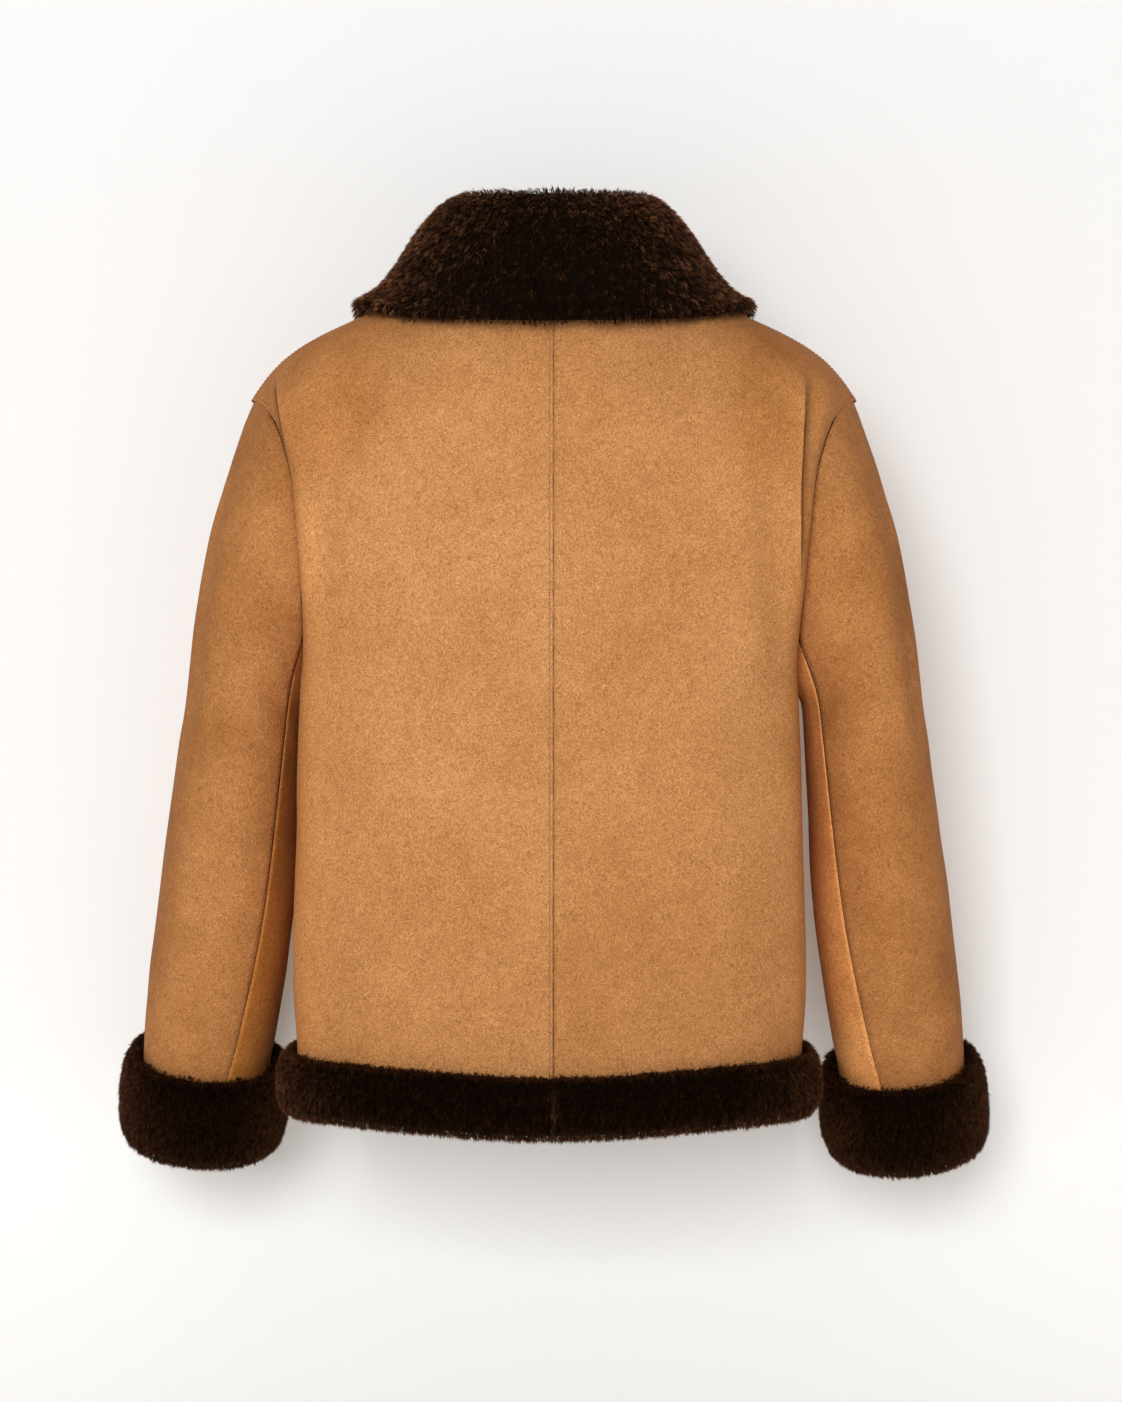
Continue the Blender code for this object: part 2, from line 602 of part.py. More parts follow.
# ---------------------------------------------------------------- assembly

def side_grids(wider, longer):
    """Grids of one side of the jacket, all worked out on the left."""
    back = body_panel(1.0, wider)
    front = body_panel(-1.0, wider)
    back_normals = body_normals(back, 1.0)
    front_normals = body_normals(front, -1.0)
    loop = armhole_loop(back, front)
    sleeve, columns, end_axis = sleeve_tube(loop, longer)
    sleeve_normals = grid_normals(sleeve, True, 1.0)
    sleeve_normals[-2:] = sleeve_normals[-1]
    body_at_loop = np.concatenate((back_normals[ARMPIT_ROW:, -1][::-1],
                                   front_normals[ARMPIT_ROW:, -1][1:-1]))
    seam_normals, across = armhole_seam(loop, body_at_loop, sleeve_normals[0])
    return {
        "back": back, "front": front, "back_normals": back_normals,
        "front_normals": front_normals, "sleeve": sleeve, "sleeve_normals": sleeve_normals,
        "columns": columns, "end_axis": end_axis, "seam_normals": seam_normals,
        "across": across,
    }


def sewn_body_panel(grids, face):
    """Outer and inner grid of a body panel with its seam gaps left open."""
    name = "back" if face > 0 else "front"
    grid = grids[name].copy()
    normals = grids[name + "_normals"].copy()
    count = len(grid) - ARMPIT_ROW
    total = len(grids["across"])
    if face > 0:
        order = np.arange(count)[::-1]
    else:
        order = np.arange(total // 2, total // 2 + count) % total
    normals[ARMPIT_ROW:, -1] = grids["seam_normals"][order]
    grid[ARMPIT_ROW:, -1] -= SEWN * grids["across"][order]
    inner = grid - WALL * normals
    half_gap = SEWN if face > 0 else FRONT_GAP / 2
    for surface in (grid, inner):
        surface[:, 0, 0] = half_gap
        surface[:ARMPIT_ROW + 1, -1, 1] = face * SEWN
        surface[-1, BODY_STEPS_NECK:, 1] += face * SEWN
    inner[-1, BODY_STEPS_NECK:, 1] = grid[-1, BODY_STEPS_NECK:, 1]
    return grid, inner


def sewn_sleeve_pieces(grids):
    """Outer and inner grids of the top sleeve and the under sleeve."""
    outer = grids["sleeve"].copy()
    normals = grids["sleeve_normals"].copy()
    normals[0] = grids["seam_normals"]
    outer[0] += SEWN * grids["across"]
    inner = outer - WALL * normals
    back, front = grids["columns"]
    count = outer.shape[1]
    over = list(range(front, count)) + list(range(0, back + 1))
    under = list(range(back, front + 1))
    around = unit(np.roll(outer, -1, axis=1) - np.roll(outer, 1, axis=1))
    pieces = {}
    for name, columns in (("top", over), ("under", under)):
        shift = np.zeros_like(outer)
        shift[:, columns[0]] = SEWN * around[:, columns[0]]
        shift[:, columns[-1]] = -SEWN * around[:, columns[-1]]
        pieces[name] = ((outer + shift)[:, columns], (inner + shift)[:, columns])
    return pieces


def build():
    """Build every piece of the jacket."""
    collection = bpy.data.collections.new(COLLECTION_NAME)
    bpy.context.scene.collection.children.link(collection)
    collar_halves = []
    for side, sign, wider, longer in SIDES:
        grids = side_grids(wider, longer)
        for face, piece in ((1.0, "back"), (-1.0, "front")):
            name = piece + "_" + side
            outer, inner = sewn_body_panel(grids, face)
            add_wall(name, mirrored(outer, sign), mirrored(inner, sign), collection,
                     plain_material(name + "_suede", SUEDE_COLOUR, 0.9))
        for piece, (outer, inner) in sewn_sleeve_pieces(grids).items():
            name = "sleeve_" + piece + "_" + side
            add_wall(name, mirrored(outer, sign), mirrored(inner, sign), collection,
                     plain_material(name + "_suede", SUEDE_COLOUR, 0.9))
        end_ring = grids["sleeve"][-1]
        cuff_outlines = cuff(end_ring, grids["end_axis"], end_ring.mean(axis=0))
        add_sweep("cuff_" + side, mirrored(cuff_outlines, sign), True, collection,
                  plain_material("cuff_" + side + "_fur", FUR_COLOUR, 1.0))
        back, front = grids["back"].copy(), grids["front"].copy()
        back[:, 0, 0] = SEWN
        front[:, 0, 0] = FRONT_GAP / 2
        band = hem_band(back, front, grids["back_normals"], grids["front_normals"])
        add_sweep("hem_band_" + side, mirrored(band, sign), False, collection,
                  plain_material("hem_band_" + side + "_fur", FUR_COLOUR, 1.0))
        back[:, 0, 0] = 0.0
        surface = surface_tree(((back, 1.0), (front, -1.0)))
        seam = neck_seam(back, front, grids["back_normals"], grids["front_normals"])
        collar_halves.append(mirrored(collar_half(*seam, surface), sign))
    left, right = collar_halves
    stations = np.concatenate((left[::-1], right[1:]))
    add_sweep("collar", stations, False, collection,
              plain_material("collar_fur", FUR_COLOUR, 1.0))


for old in list(bpy.data.objects):
    bpy.data.objects.remove(old)
build()
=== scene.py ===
"""Looks of the faux fur jacket: napped faux suede, sewn seams and dark brown plush fur.

Every suede piece is a thin shell made from its own CAD wall, made finer, with seams drawn
in and soft creases. Every fur piece is a dense backing made from its CAD band, drawn in by
the length of the pile, with the pile itself as joined blades on it.
"""

import math
from collections import namedtuple

import bmesh
import bpy
import numpy as np
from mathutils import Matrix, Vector, noise
from mathutils.bvhtree import BVHTree
from mathutils.kdtree import KDTree

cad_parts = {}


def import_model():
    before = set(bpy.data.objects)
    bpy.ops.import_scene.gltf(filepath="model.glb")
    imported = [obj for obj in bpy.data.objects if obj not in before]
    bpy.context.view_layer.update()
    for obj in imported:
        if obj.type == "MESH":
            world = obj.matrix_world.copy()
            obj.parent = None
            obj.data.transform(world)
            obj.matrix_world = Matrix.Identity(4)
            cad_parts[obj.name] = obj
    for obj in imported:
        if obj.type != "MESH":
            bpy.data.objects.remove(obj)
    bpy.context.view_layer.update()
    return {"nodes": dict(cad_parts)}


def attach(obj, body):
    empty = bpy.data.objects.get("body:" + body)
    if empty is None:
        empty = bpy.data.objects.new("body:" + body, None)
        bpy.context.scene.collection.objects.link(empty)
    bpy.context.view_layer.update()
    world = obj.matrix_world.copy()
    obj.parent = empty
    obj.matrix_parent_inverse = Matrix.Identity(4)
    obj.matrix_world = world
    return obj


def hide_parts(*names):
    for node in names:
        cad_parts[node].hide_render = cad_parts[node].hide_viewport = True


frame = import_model()

SIDES = (("left", 1.0), ("right", -1.0))
SUEDE_PIECES = ("back", "front", "sleeve_top", "sleeve_under")
# Form of the hollow, to tell outward from inward
BODY_HALF_WIDTH = 0.196
BODY_HALF_DEPTH = 0.120
SHOULDER_LOW = -0.13        # the body rounds over to the shoulder from this height ...
SHOULDER_REACH = 0.12       # ... to this much higher
SHOULDER_RISE = 6.0         # how much it faces up there

# Middle of the sleeve: it leans out, turns in at the wrist and bends forward at the elbow
SLEEVE_FROM_X = 0.205       # the middle of the armhole, from the jacket's centre
SLEEVE_FROM_Y = -0.005
SLEEVE_FROM_DOWN = 0.11     # how far under the neck the lean starts
SLEEVE_LEAN = 0.165         # how far out the sleeve leans for each metre down
WRIST_FROM_DOWN, WRIST_LEAN = 0.60, 0.06
ELBOW_FROM_DOWN, ELBOW_BEND, ELBOW_CURVE = 0.33, 0.40, 1.55
SLEEVE_GIRTH = 0.36         # creases of a sleeve are laid out on this width

WALL_EDGE = math.radians(50)            # edges of a wall are sharper than this
QUAD_FLAT, QUAD_SQUARE = math.radians(35), math.radians(60)
MERGE_NEAR = 0.00002                    # points this near are one point
EDGE_ON = 0.5                           # a face turned further away than this is an edge
OUTSIDE, INSIDE, CUT_EDGE = 0, 1, 2     # materials of a shell: outer and inner face, edge
EDGE_DRAW = 0.4                         # how much of the seams' draw the edge takes
FINER_LEVELS = 2

# Camera at the photo's angle: from behind, level, with a long lens
CAMERA_PLACE = (-0.0055, 2.565, -0.3185)
CAMERA_LENS = 85.0
CAMERA_SENSOR = 36.0

# Stage: a floor that curves up into a wall close behind the jacket, and its light
BACKDROP_Y = -0.200
BACKDROP_HALF_WIDTH = 16.0
BACKDROP_NEAR_Y = 14.0
BACKDROP_TOP_Z = 12.0
BACKDROP_CORNER = 0.35
BACKDROP_STEPS = 8
BACKDROP_TOP = (0.852, 0.872, 0.896)
BACKDROP_LOW = (0.930, 0.948, 0.965)
# painted light: the backdrop glows faintly in this colour, which lightens and warms the shadows on
# it
BACKDROP_GLOW = (0.070, 0.050, 0.030, 1.0)
BACKDROP_FADE = (-0.86, 0.20)   # heights where the low colour ends and the top colour starts
FLOOR_Z = -1.05
WORLD_COLOUR = (1.0, 0.925, 0.85, 1.0)
WORLD_STRENGTH = 0.31
KEY_PLACE = (1.05, 7.2, 1.25)
KEY_AIM = (0.0, 0.0, -0.35)
KEY_SIZE = 3.0
KEY_POWER = 340.0
KEY_COLOUR = (0.985, 0.995, 1.0)

# Seams: how wide and how deep the suede draws in along them
SEAM_REACH = 0.0060
SEAM_DEPTH = 0.0005
SEAM_CLOSED = 0.00014       # each edge grows by this, so that sewn pieces meet
OPENING_REACH = 0.0022      # the edges of the front opening, this near the middle ...
OPENING_HALF = 0.00012      # ... rest against each other, this far from it
SEAM_SEEN = 0.020           # distance from a seam is kept on the piece up to here
CREASE_FREE = 0.020         # creases fade out this near to a seam
SEAM_STEP = 0.0012          # points along a seam are this far apart
SEAM_PROFILE = 0.0060       # the seam's rolled edge and stitching lie within this distance
STITCH_OFFSET = 0.0027      # the row of stitches, from the seam
PUCKER_REACH = 0.012        # small puckers of the stitching reach this far from the seam
# Height across a seam, at shares of SEAM_PROFILE: a plain one, and one sewn down by a row
PLAIN_SEAM = ((0.0, 0.05), (0.12, 0.36), (0.30, 0.50), (1.0, 0.50))
SEWN_SEAM = ((0.0, 0.0), (0.07, 0.70), (0.18, 0.95), (0.36, 1.0), (0.45, 0.30), (0.56, 0.60),
             (1.0, 0.60))
SEAM_RELIEF = 0.0004
STITCH_LENGTH = 0.0024
STITCH_PITCH = 0.0033
STITCH_THICK = 0.00042
STITCH_TIP = 0.7            # the thread's ends are this share as thick
STITCH_SINK, STITCH_RISE = -0.00025, 0.00022
LEAST_STITCHES = 3

# Where seams are sewn down by a row: heights and distances from the middle
CENTRE_NEAR = 0.004
ARMHOLE_FROM_X = 0.150
ARMHOLE_LOW, ARMHOLE_HIGH = -0.292, -0.088
SHOULDER_SEAM_NEAR, NECK_X = 0.012, 0.088
HEM_STITCH_END = -0.597
SLEEVE_STITCH_START, SLEEVE_STITCH_END = -0.270, -0.640

# Tint of each piece: a little from the lie of its nap, mostly painted shade that darkens the
# sleeves, the under-sleeves and the right-hand pieces, and painted light that lightens the right
# under-sleeve
PIECE_TINT_AND_PAINTED_SHADE = {
    "back": {"left": (1.0, 1.0, 1.0), "right": (0.965, 0.955, 0.945)},
    "front": {"left": (0.98, 0.97, 0.96), "right": (1.0, 1.0, 1.0)},
    "sleeve_top": {"left": (0.80, 0.745, 0.67), "right": (0.785, 0.71, 0.62)},
    "sleeve_under": {"left": (0.88, 0.73, 0.44), "right": (1.42, 1.34, 1.18)},
}
# Painted shade that makes the body darker at its hem and shoulders, and painted light that makes
# it lighter at its sides
LOW_PAINTED_SHADE = (0.13, 0.16, 0.20)
LOW_PAINTED_SHADE_FROM, LOW_PAINTED_SHADE_REACH = 0.36, 0.26
SHOULDER_PAINTED_SHADE = (0.08, 0.15, 0.27)
SHOULDER_PAINTED_SHADE_FROM, SHOULDER_PAINTED_SHADE_REACH = (0.11, -0.20), (0.05, 0.10)
SIDE_PAINTED_LIGHT = (0.17, 0.16, 0.10)
SIDE_PAINTED_LIGHT_FROM, SIDE_PAINTED_LIGHT_REACH = (0.160, 0.13), (0.030, 0.08)
# Strokes of the nap: how much they differ where it is rubbed most, and by colour
NAP_STROKE = 0.18
NAP_STROKE_COLOUR = (0.8, 1.0, 1.3)
NAP_LEAST_RUBBED = 0.35

# Creases of the body: from X and height, to X and height, half width, depth (+ a trough)
BACK_CREASES = (
    (0.165, -0.120, 0.176, -0.330, 0.012, 0.0022),
    (0.150, -0.210, 0.165, -0.420, 0.016, 0.0012),
    (-0.160, -0.110, -0.172, -0.350, 0.013, 0.0026),
    (-0.142, -0.230, -0.158, -0.450, 0.018, 0.0013),
    (0.060, -0.330, 0.085, -0.590, 0.030, 0.0012),
    (-0.075, -0.300, -0.100, -0.585, 0.028, 0.0014),
    (0.115, -0.430, 0.135, -0.600, 0.020, -0.0012),
    (-0.120, -0.470, -0.140, -0.600, 0.018, -0.0014),
    (0.222, -0.070, 0.206, -0.125, 0.0060, 0.0030),
    (0.214, -0.068, 0.197, -0.140, 0.0065, -0.0022),
    (-0.200, -0.062, -0.190, -0.150, 0.0060, 0.0030),
    (-0.191, -0.060, -0.180, -0.165, 0.0065, -0.0022),
    (0.150, -0.075, 0.187, -0.095, 0.009, 0.0012),
    (-0.150, -0.070, -0.186, -0.100, 0.009, 0.0014),
    (0.020, -0.120, 0.030, -0.300, 0.030, 0.0008),
)
# The sharp fold of the back beside each armhole: X and height of its points, from the top
FOLDS = {
    "left": ((0.2105, -0.0700), (0.2045, -0.1025), (0.2000, -0.1350)),
    "right": ((-0.1885, -0.0700), (-0.1850, -0.1150), (-0.1838, -0.1600), (-0.1845, -0.2400)),
}
FOLD_REACH = 0.008
FOLD_RELIEF = 0.0014
FOLD_STARTS, FOLD_FADES = 0.25, 0.20    # shares of its length where it comes in and fades
FRONT_CREASES = (
    (0.150, -0.130, 0.168, -0.340, 0.013, 0.0024),
    (-0.154, -0.140, -0.166, -0.320, 0.014, 0.0022),
    (0.050, -0.360, 0.070, -0.590, 0.026, 0.0014),
    (-0.065, -0.330, -0.085, -0.580, 0.030, 0.0013),
    (0.110, -0.440, 0.130, -0.600, 0.020, -0.0014),
    (-0.105, -0.480, -0.125, -0.600, 0.018, -0.0012),
    (0.090, -0.150, 0.120, -0.280, 0.022, 0.0010),
)
# Creases of a sleeve: angle round it in degrees and height at each end, half width, depth
SLEEVE_CREASES = (
    (150.0, -0.335, 95.0, -0.300, 0.009, 0.0024),
    (160.0, -0.375, 80.0, -0.335, 0.010, 0.0018),
    (205.0, -0.330, 262.0, -0.290, 0.010, 0.0022),
    (150.0, -0.450, 75.0, -0.425, 0.011, 0.0014),
    (210.0, -0.440, 285.0, -0.470, 0.009, 0.0026),
    (205.0, -0.475, 275.0, -0.500, 0.008, 0.0020),
    (215.0, -0.410, 290.0, -0.425, 0.011, 0.0018),
    (20.0, -0.120, 12.0, -0.330, 0.009, 0.0022),
    (40.0, -0.100, 36.0, -0.230, 0.007, -0.0018),
    (55.0, -0.160, 48.0, -0.380, 0.010, 0.0018),
    (120.0, -0.540, 60.0, -0.560, 0.012, 0.0014),
    (330.0, -0.500, 345.0, -0.590, 0.012, 0.0012),
)
RIDGE_SHARE, RIDGE_AWAY = 0.45, 1.7     # the soft ridge beside each trough
CREASE_ENDS, CREASE_LEAST = 0.35, 0.12  # creases fade in and out at their ends, down to this
SLACK = 0.0011                          # how uneven the cloth hangs

# Fur: blades, their length, half width at the middle, how far the backing lies under the
# tips, and how light it is; the hem band and cuffs are made darker than the collar, as painted
# shade
Fur = namedtuple("Fur", "blades length half_width depth brightness")
FUR = {
    "collar": Fur(98000, 0.0076, 0.00029, 0.0026, 1.0),
    "hem_band": Fur(58000, 0.0072, 0.00029, 0.0025, 0.66),
    "cuff": Fur(56000, 0.0074, 0.00029, 0.0025, 0.54),
}
TOP_PILE = 2.2              # how much denser the pile is on faces that look up
TOP_FROM, TOP_REACH = 0.3, 0.5
CLUMP_BLADES = 10           # blades that lean together in one lock
CLUMP_REACH = 0.02
CLUMP_LEAN, CLUMP_MIDDLE = 0.42, 0.35
CLUMP_TONE = 0.62           # how much of a blade's tone it shares with its lock
CUFF_COMB = (0.10, -0.30, -0.95)    # down the arm; X for the left cuff
COLLAR_SPREAD = 0.5
COMB_FLAT, COMB_STRAY = 0.8, 0.28   # how flat the comb lies, and how far blades stray from it
BLADE_LIFT, BLADE_LIFT_STRAY = 0.62, 0.20
BLADE_LOWER = (0.45, 0.55)          # a blade's lower half: lift added, and share of the comb
BLADE_UPPER = (-0.22, 1.05)         # and its upper half, which bends over
BLADE_SHORTEST, BLADE_LONGER = 0.72, 0.45
BLADE_NARROWEST, BLADE_WIDER = 0.7, 0.6
BLADE_TWIST = 0.6
BLADE_FACES = np.array(((0, 1, 2), (1, 3, 2)))
BLADE_ALONG = (0.0, 0.5, 0.5, 1.0)
WALL_TOUCHES, WALL_CLEAR = 0.0012, 0.006    # fur this near to a suede wall has no pile
LUMP_SIZE, LUMP_SHARE = 60.0, 0.25
SEED = 5


# ---------------------------------------------------------------- materials

def new_material(name):
    """An empty node material and its output."""
    material = bpy.data.materials.new(name)
    material.use_nodes = True
    material.node_tree.nodes.clear()
    output = material.node_tree.nodes.new("ShaderNodeOutputMaterial")
    return material, material.node_tree.nodes, material.node_tree.links, output


def object_coordinates(nodes):
    """Coordinates in metres that stay on the piece."""
    return nodes.new("ShaderNodeTexCoord").outputs["Object"]


def grain(nodes, links, where, scale, detail=4.0, roughness=0.6, distortion=0.0):
    """A noise pattern whose marks are about 1 / scale metres wide."""
    node = nodes.new("ShaderNodeTexNoise")
    node.inputs["Scale"].default_value = scale
    node.inputs["Detail"].default_value = detail
    node.inputs["Roughness"].default_value = roughness
    node.inputs["Distortion"].default_value = distortion
    links.new(where, node.inputs["Vector"])
    return node.outputs["Fac"]


def ramp(nodes, links, value, stops):
    """Colours along a value from 0 to 1."""
    node = nodes.new("ShaderNodeValToRGB")
    elements = node.color_ramp.elements
    while len(elements) < len(stops):
        elements.new(0.5)
    for element, (place, colour) in zip(elements, stops):
        element.position = place
        element.color = (*colour, 1.0)
    links.new(value, node.inputs["Fac"])
    return node.outputs["Color"]


def blend_colours(nodes, links, kind, share, first, second):
    """Two colours combined; share is a number or a socket."""
    node = nodes.new("ShaderNodeMix")
    node.data_type = "RGBA"
    node.blend_type = kind
    if isinstance(share, float):
        node.inputs["Factor"].default_value = share
    else:
        links.new(share, node.inputs["Factor"])
    links.new(first, node.inputs["A"])
    links.new(second, node.inputs["B"])
    return node.outputs["Result"]


def own_value(nodes, name, output="Fac"):
    """A value or colour that the piece carries on its points."""
    node = nodes.new("ShaderNodeAttribute")
    node.attribute_name = name
    return node.outputs[output]


def facing(nodes, links, normal=None):
    """0 where the surface faces the view, rising to 1 where it turns away."""
    node = nodes.new("ShaderNodeLayerWeight")
    node.inputs["Blend"].default_value = 0.5
    if normal is not None:
        links.new(normal, node.inputs["Normal"])
    return node.outputs["Facing"]


def multiply(nodes, links, first, second):
    """The product of two values."""
    node = nodes.new("ShaderNodeMath")
    node.operation = "MULTIPLY"
    links.new(first, node.inputs[0])
    links.new(second, node.inputs[1])
    return node.outputs["Value"]


def reversed_stops(profile):
    """Ramp stops of a profile, for a value that runs from 1 at the seam to 0."""
    return [(1.0 - place, (height, height, height)) for place, height in reversed(profile)]


def fall_off(nodes, links, distance, reach, way, start=0.0):
    """1 where a distance is at its start, falling to 0 at the reach."""
    node = nodes.new("ShaderNodeMapRange")
    node.interpolation_type = way
    node.inputs["From Min"].default_value = start
    node.inputs["From Max"].default_value = reach
    node.inputs["To Min"].default_value = 1.0
    node.inputs["To Max"].default_value = 0.0
    links.new(distance, node.inputs["Value"])
    return node.outputs["Result"]


def relief(nodes, links, height, distance, strength, under=None):
    """Bump of the given height in metres, on top of another bump if there is one."""
    node = nodes.new("ShaderNodeBump")
    node.inputs["Distance"].default_value = distance
    node.inputs["Strength"].default_value = strength
    links.new(height, node.inputs["Height"])
    if under is not None:
        links.new(under, node.inputs["Normal"])
    return node.outputs["Normal"]


def matt_surface(nodes, links, output, colour, roughness, specular, normal=None):
    """Give a material its surface, as rough and as glossy as stated; returns the shader."""
    shader = nodes.new("ShaderNodeBsdfPrincipled")
    shader.inputs["Roughness"].default_value = roughness
    shader.inputs["Specular IOR Level"].default_value = specular
    links.new(colour, shader.inputs["Base Color"])
    if normal is not None:
        links.new(normal, shader.inputs["Normal"])
    links.new(shader.outputs["BSDF"], output.inputs["Surface"])
    return shader


def add_sheen(shader, weight, roughness, tint):
    """A soft sheen on a shader."""
    shader.inputs["Sheen Weight"].default_value = weight
    shader.inputs["Sheen Roughness"].default_value = roughness
    shader.inputs["Sheen Tint"].default_value = (*tint, 1.0)


def suede_material():
    """Tan faux suede: a short nap with fine flecks, brushed patches and a soft sheen."""
    material, nodes, links, output = new_material("tan_faux_suede")
    where = object_coordinates(nodes)
    patches = grain(nodes, links, where, scale=11.0, detail=4.0, roughness=0.55, distortion=0.3)
    brushed = grain(nodes, links, where, scale=70.0, detail=4.0, roughness=0.60, distortion=1.2)
    flecks = grain(nodes, links, where, scale=400.0, detail=3.0, roughness=0.55, distortion=2.4)
    fibres = grain(nodes, links, where, scale=950.0, detail=3.0, roughness=0.70, distortion=0.8)
    tan = ramp(nodes, links, patches, (
        (0.30, (0.535, 0.238, 0.081)), (0.50, (0.572, 0.262, 0.094)),
        (0.70, (0.604, 0.286, 0.107))))
    rubbed = ramp(nodes, links, brushed, (
        (0.30, (0.93, 0.92, 0.90)), (0.50, (1.0, 1.0, 1.0)), (0.70, (1.05, 1.06, 1.08))))
    flecked = ramp(nodes, links, flecks, (
        (0.34, (0.66, 0.60, 0.53)), (0.50, (1.0, 1.0, 1.0)), (0.66, (1.22, 1.27, 1.36))))
    combed = ramp(nodes, links, fibres, (
        (0.34, (0.72, 0.68, 0.62)), (0.50, (1.0, 1.0, 1.0)), (0.66, (1.20, 1.24, 1.32))))
    # darker where the suede turns away from the view: partly the look of its nap, partly painted
    # shade on the turned-away sides
    turned = ramp(nodes, links, facing(nodes, links), (
        (0.0, (1.0, 1.0, 1.0)), (0.28, (0.95, 0.93, 0.91)), (0.65, (0.82, 0.76, 0.70)),
        (1.0, (0.70, 0.61, 0.53))))
    seam, row = own_value(nodes, "seam_distance"), own_value(nodes, "stitched")
    across = fall_off(nodes, links, seam, SEAM_PROFILE, "LINEAR")
    plain_line = ramp(nodes, links, across, (
        (0.0, (1.0, 1.0, 1.0)), (0.92, (1.0, 1.0, 1.0)), (0.97, (0.86, 0.80, 0.74)),
        (1.0, (0.58, 0.47, 0.37))))
    # dark seam line and stitch groove, with a painted highlight on the rolled edge between them
    sewn_line = ramp(nodes, links, across, (
        (0.0, (1.0, 1.0, 1.0)), (0.49, (1.0, 1.0, 1.0)), (0.545, (0.66, 0.57, 0.48)),
        (0.60, (1.16, 1.20, 1.28)), (0.88, (1.18, 1.23, 1.32)), (0.95, (0.70, 0.61, 0.52)),
        (1.0, (0.36, 0.26, 0.18))))
    line = blend_colours(nodes, links, "MIX", row, plain_line, sewn_line)
    plain_height = ramp(nodes, links, across, reversed_stops(PLAIN_SEAM))
    sewn_height = ramp(nodes, links, across, reversed_stops(SEWN_SEAM))
    height = blend_colours(nodes, links, "MIX", row, plain_height, sewn_height)
    past, marked = own_value(nodes, "past_fold"), own_value(nodes, "fold_marked")
    over = fall_off(nodes, links, past, FOLD_REACH, "LINEAR", -FOLD_REACH)
    flat_cloth = ramp(nodes, links, over, ((0.0, (1.0, 1.0, 1.0)), (1.0, (1.0, 1.0, 1.0))))
    # painted shadow under the fold and painted highlight on its ridge
    fold_shade = ramp(nodes, links, over, (
        (0.0, (1.0, 1.0, 1.0)), (0.20, (0.84, 0.79, 0.75)), (0.38, (0.60, 0.50, 0.42)),
        (0.46, (0.24, 0.16, 0.11)), (0.51, (1.12, 1.15, 1.20)), (0.60, (1.14, 1.18, 1.24)),
        (0.80, (1.0, 1.0, 1.0)), (1.0, (1.0, 1.0, 1.0))))
    folded = blend_colours(nodes, links, "MIX", marked, flat_cloth, fold_shade)
    fold_drop = ramp(nodes, links, over, (
        (0.0, (0.6, 0.6, 0.6)), (0.44, (0.0, 0.0, 0.0)), (0.53, (1.0, 1.0, 1.0)),
        (1.0, (0.6, 0.6, 0.6))))
    fold_height = multiply(nodes, links, fold_drop, marked)
    puckers = multiply(
        nodes, links, grain(nodes, links, where, scale=150.0, detail=2.0, roughness=0.5,
                            distortion=0.6),
        fall_off(nodes, links, seam, PUCKER_REACH, "SMOOTHERSTEP"))
    # the per-vertex tint among these layers carries painted shade and painted light as well as the
    # nap's strokes
    colour = tan
    for layer in (rubbed, flecked, combed, own_value(nodes, "nap_and_painted_shading", "Color"), turned, line,
                  folded):
        colour = blend_colours(nodes, links, "MULTIPLY", 1.0, colour, layer)
    normal = None
    for mark, distance, strength in (
            (brushed, 0.0008, 0.35), (flecks, 0.0005, 0.60), (fibres, 0.0002, 0.50),
            (height, SEAM_RELIEF, 1.0), (puckers, 0.0007, 0.6), (fold_height, FOLD_RELIEF, 1.0)):
        normal = relief(nodes, links, mark, distance, strength, normal)
    shader = matt_surface(nodes, links, output, colour, 0.92, 0.10, normal)
    add_sheen(shader, 0.07, 0.45, (1.0, 0.62, 0.34))
    return material


def plush_material(name):
    """Short dark brown pile: the inner face of the suede and the backing under the fur."""
    material, nodes, links, output = new_material(name)
    where = object_coordinates(nodes)
    locks = grain(nodes, links, where, scale=170.0, detail=4.0, roughness=0.65, distortion=1.2)
    hairs = grain(nodes, links, where, scale=1500.0, detail=3.0, roughness=0.7)
    colour = ramp(nodes, links, locks, (
        (0.30, (0.0022, 0.0009, 0.0004)), (0.55, (0.0065, 0.0026, 0.0010)),
        (0.80, (0.018, 0.0076, 0.0032))))
    normal = relief(nodes, links, locks, 0.0035, 0.8)
    normal = relief(nodes, links, hairs, 0.0006, 0.8, normal)
    shader = matt_surface(nodes, links, output, colour, 0.85, 0.05, normal)
    add_sheen(shader, 0.05, 0.35, (0.50, 0.27, 0.15))
    return material


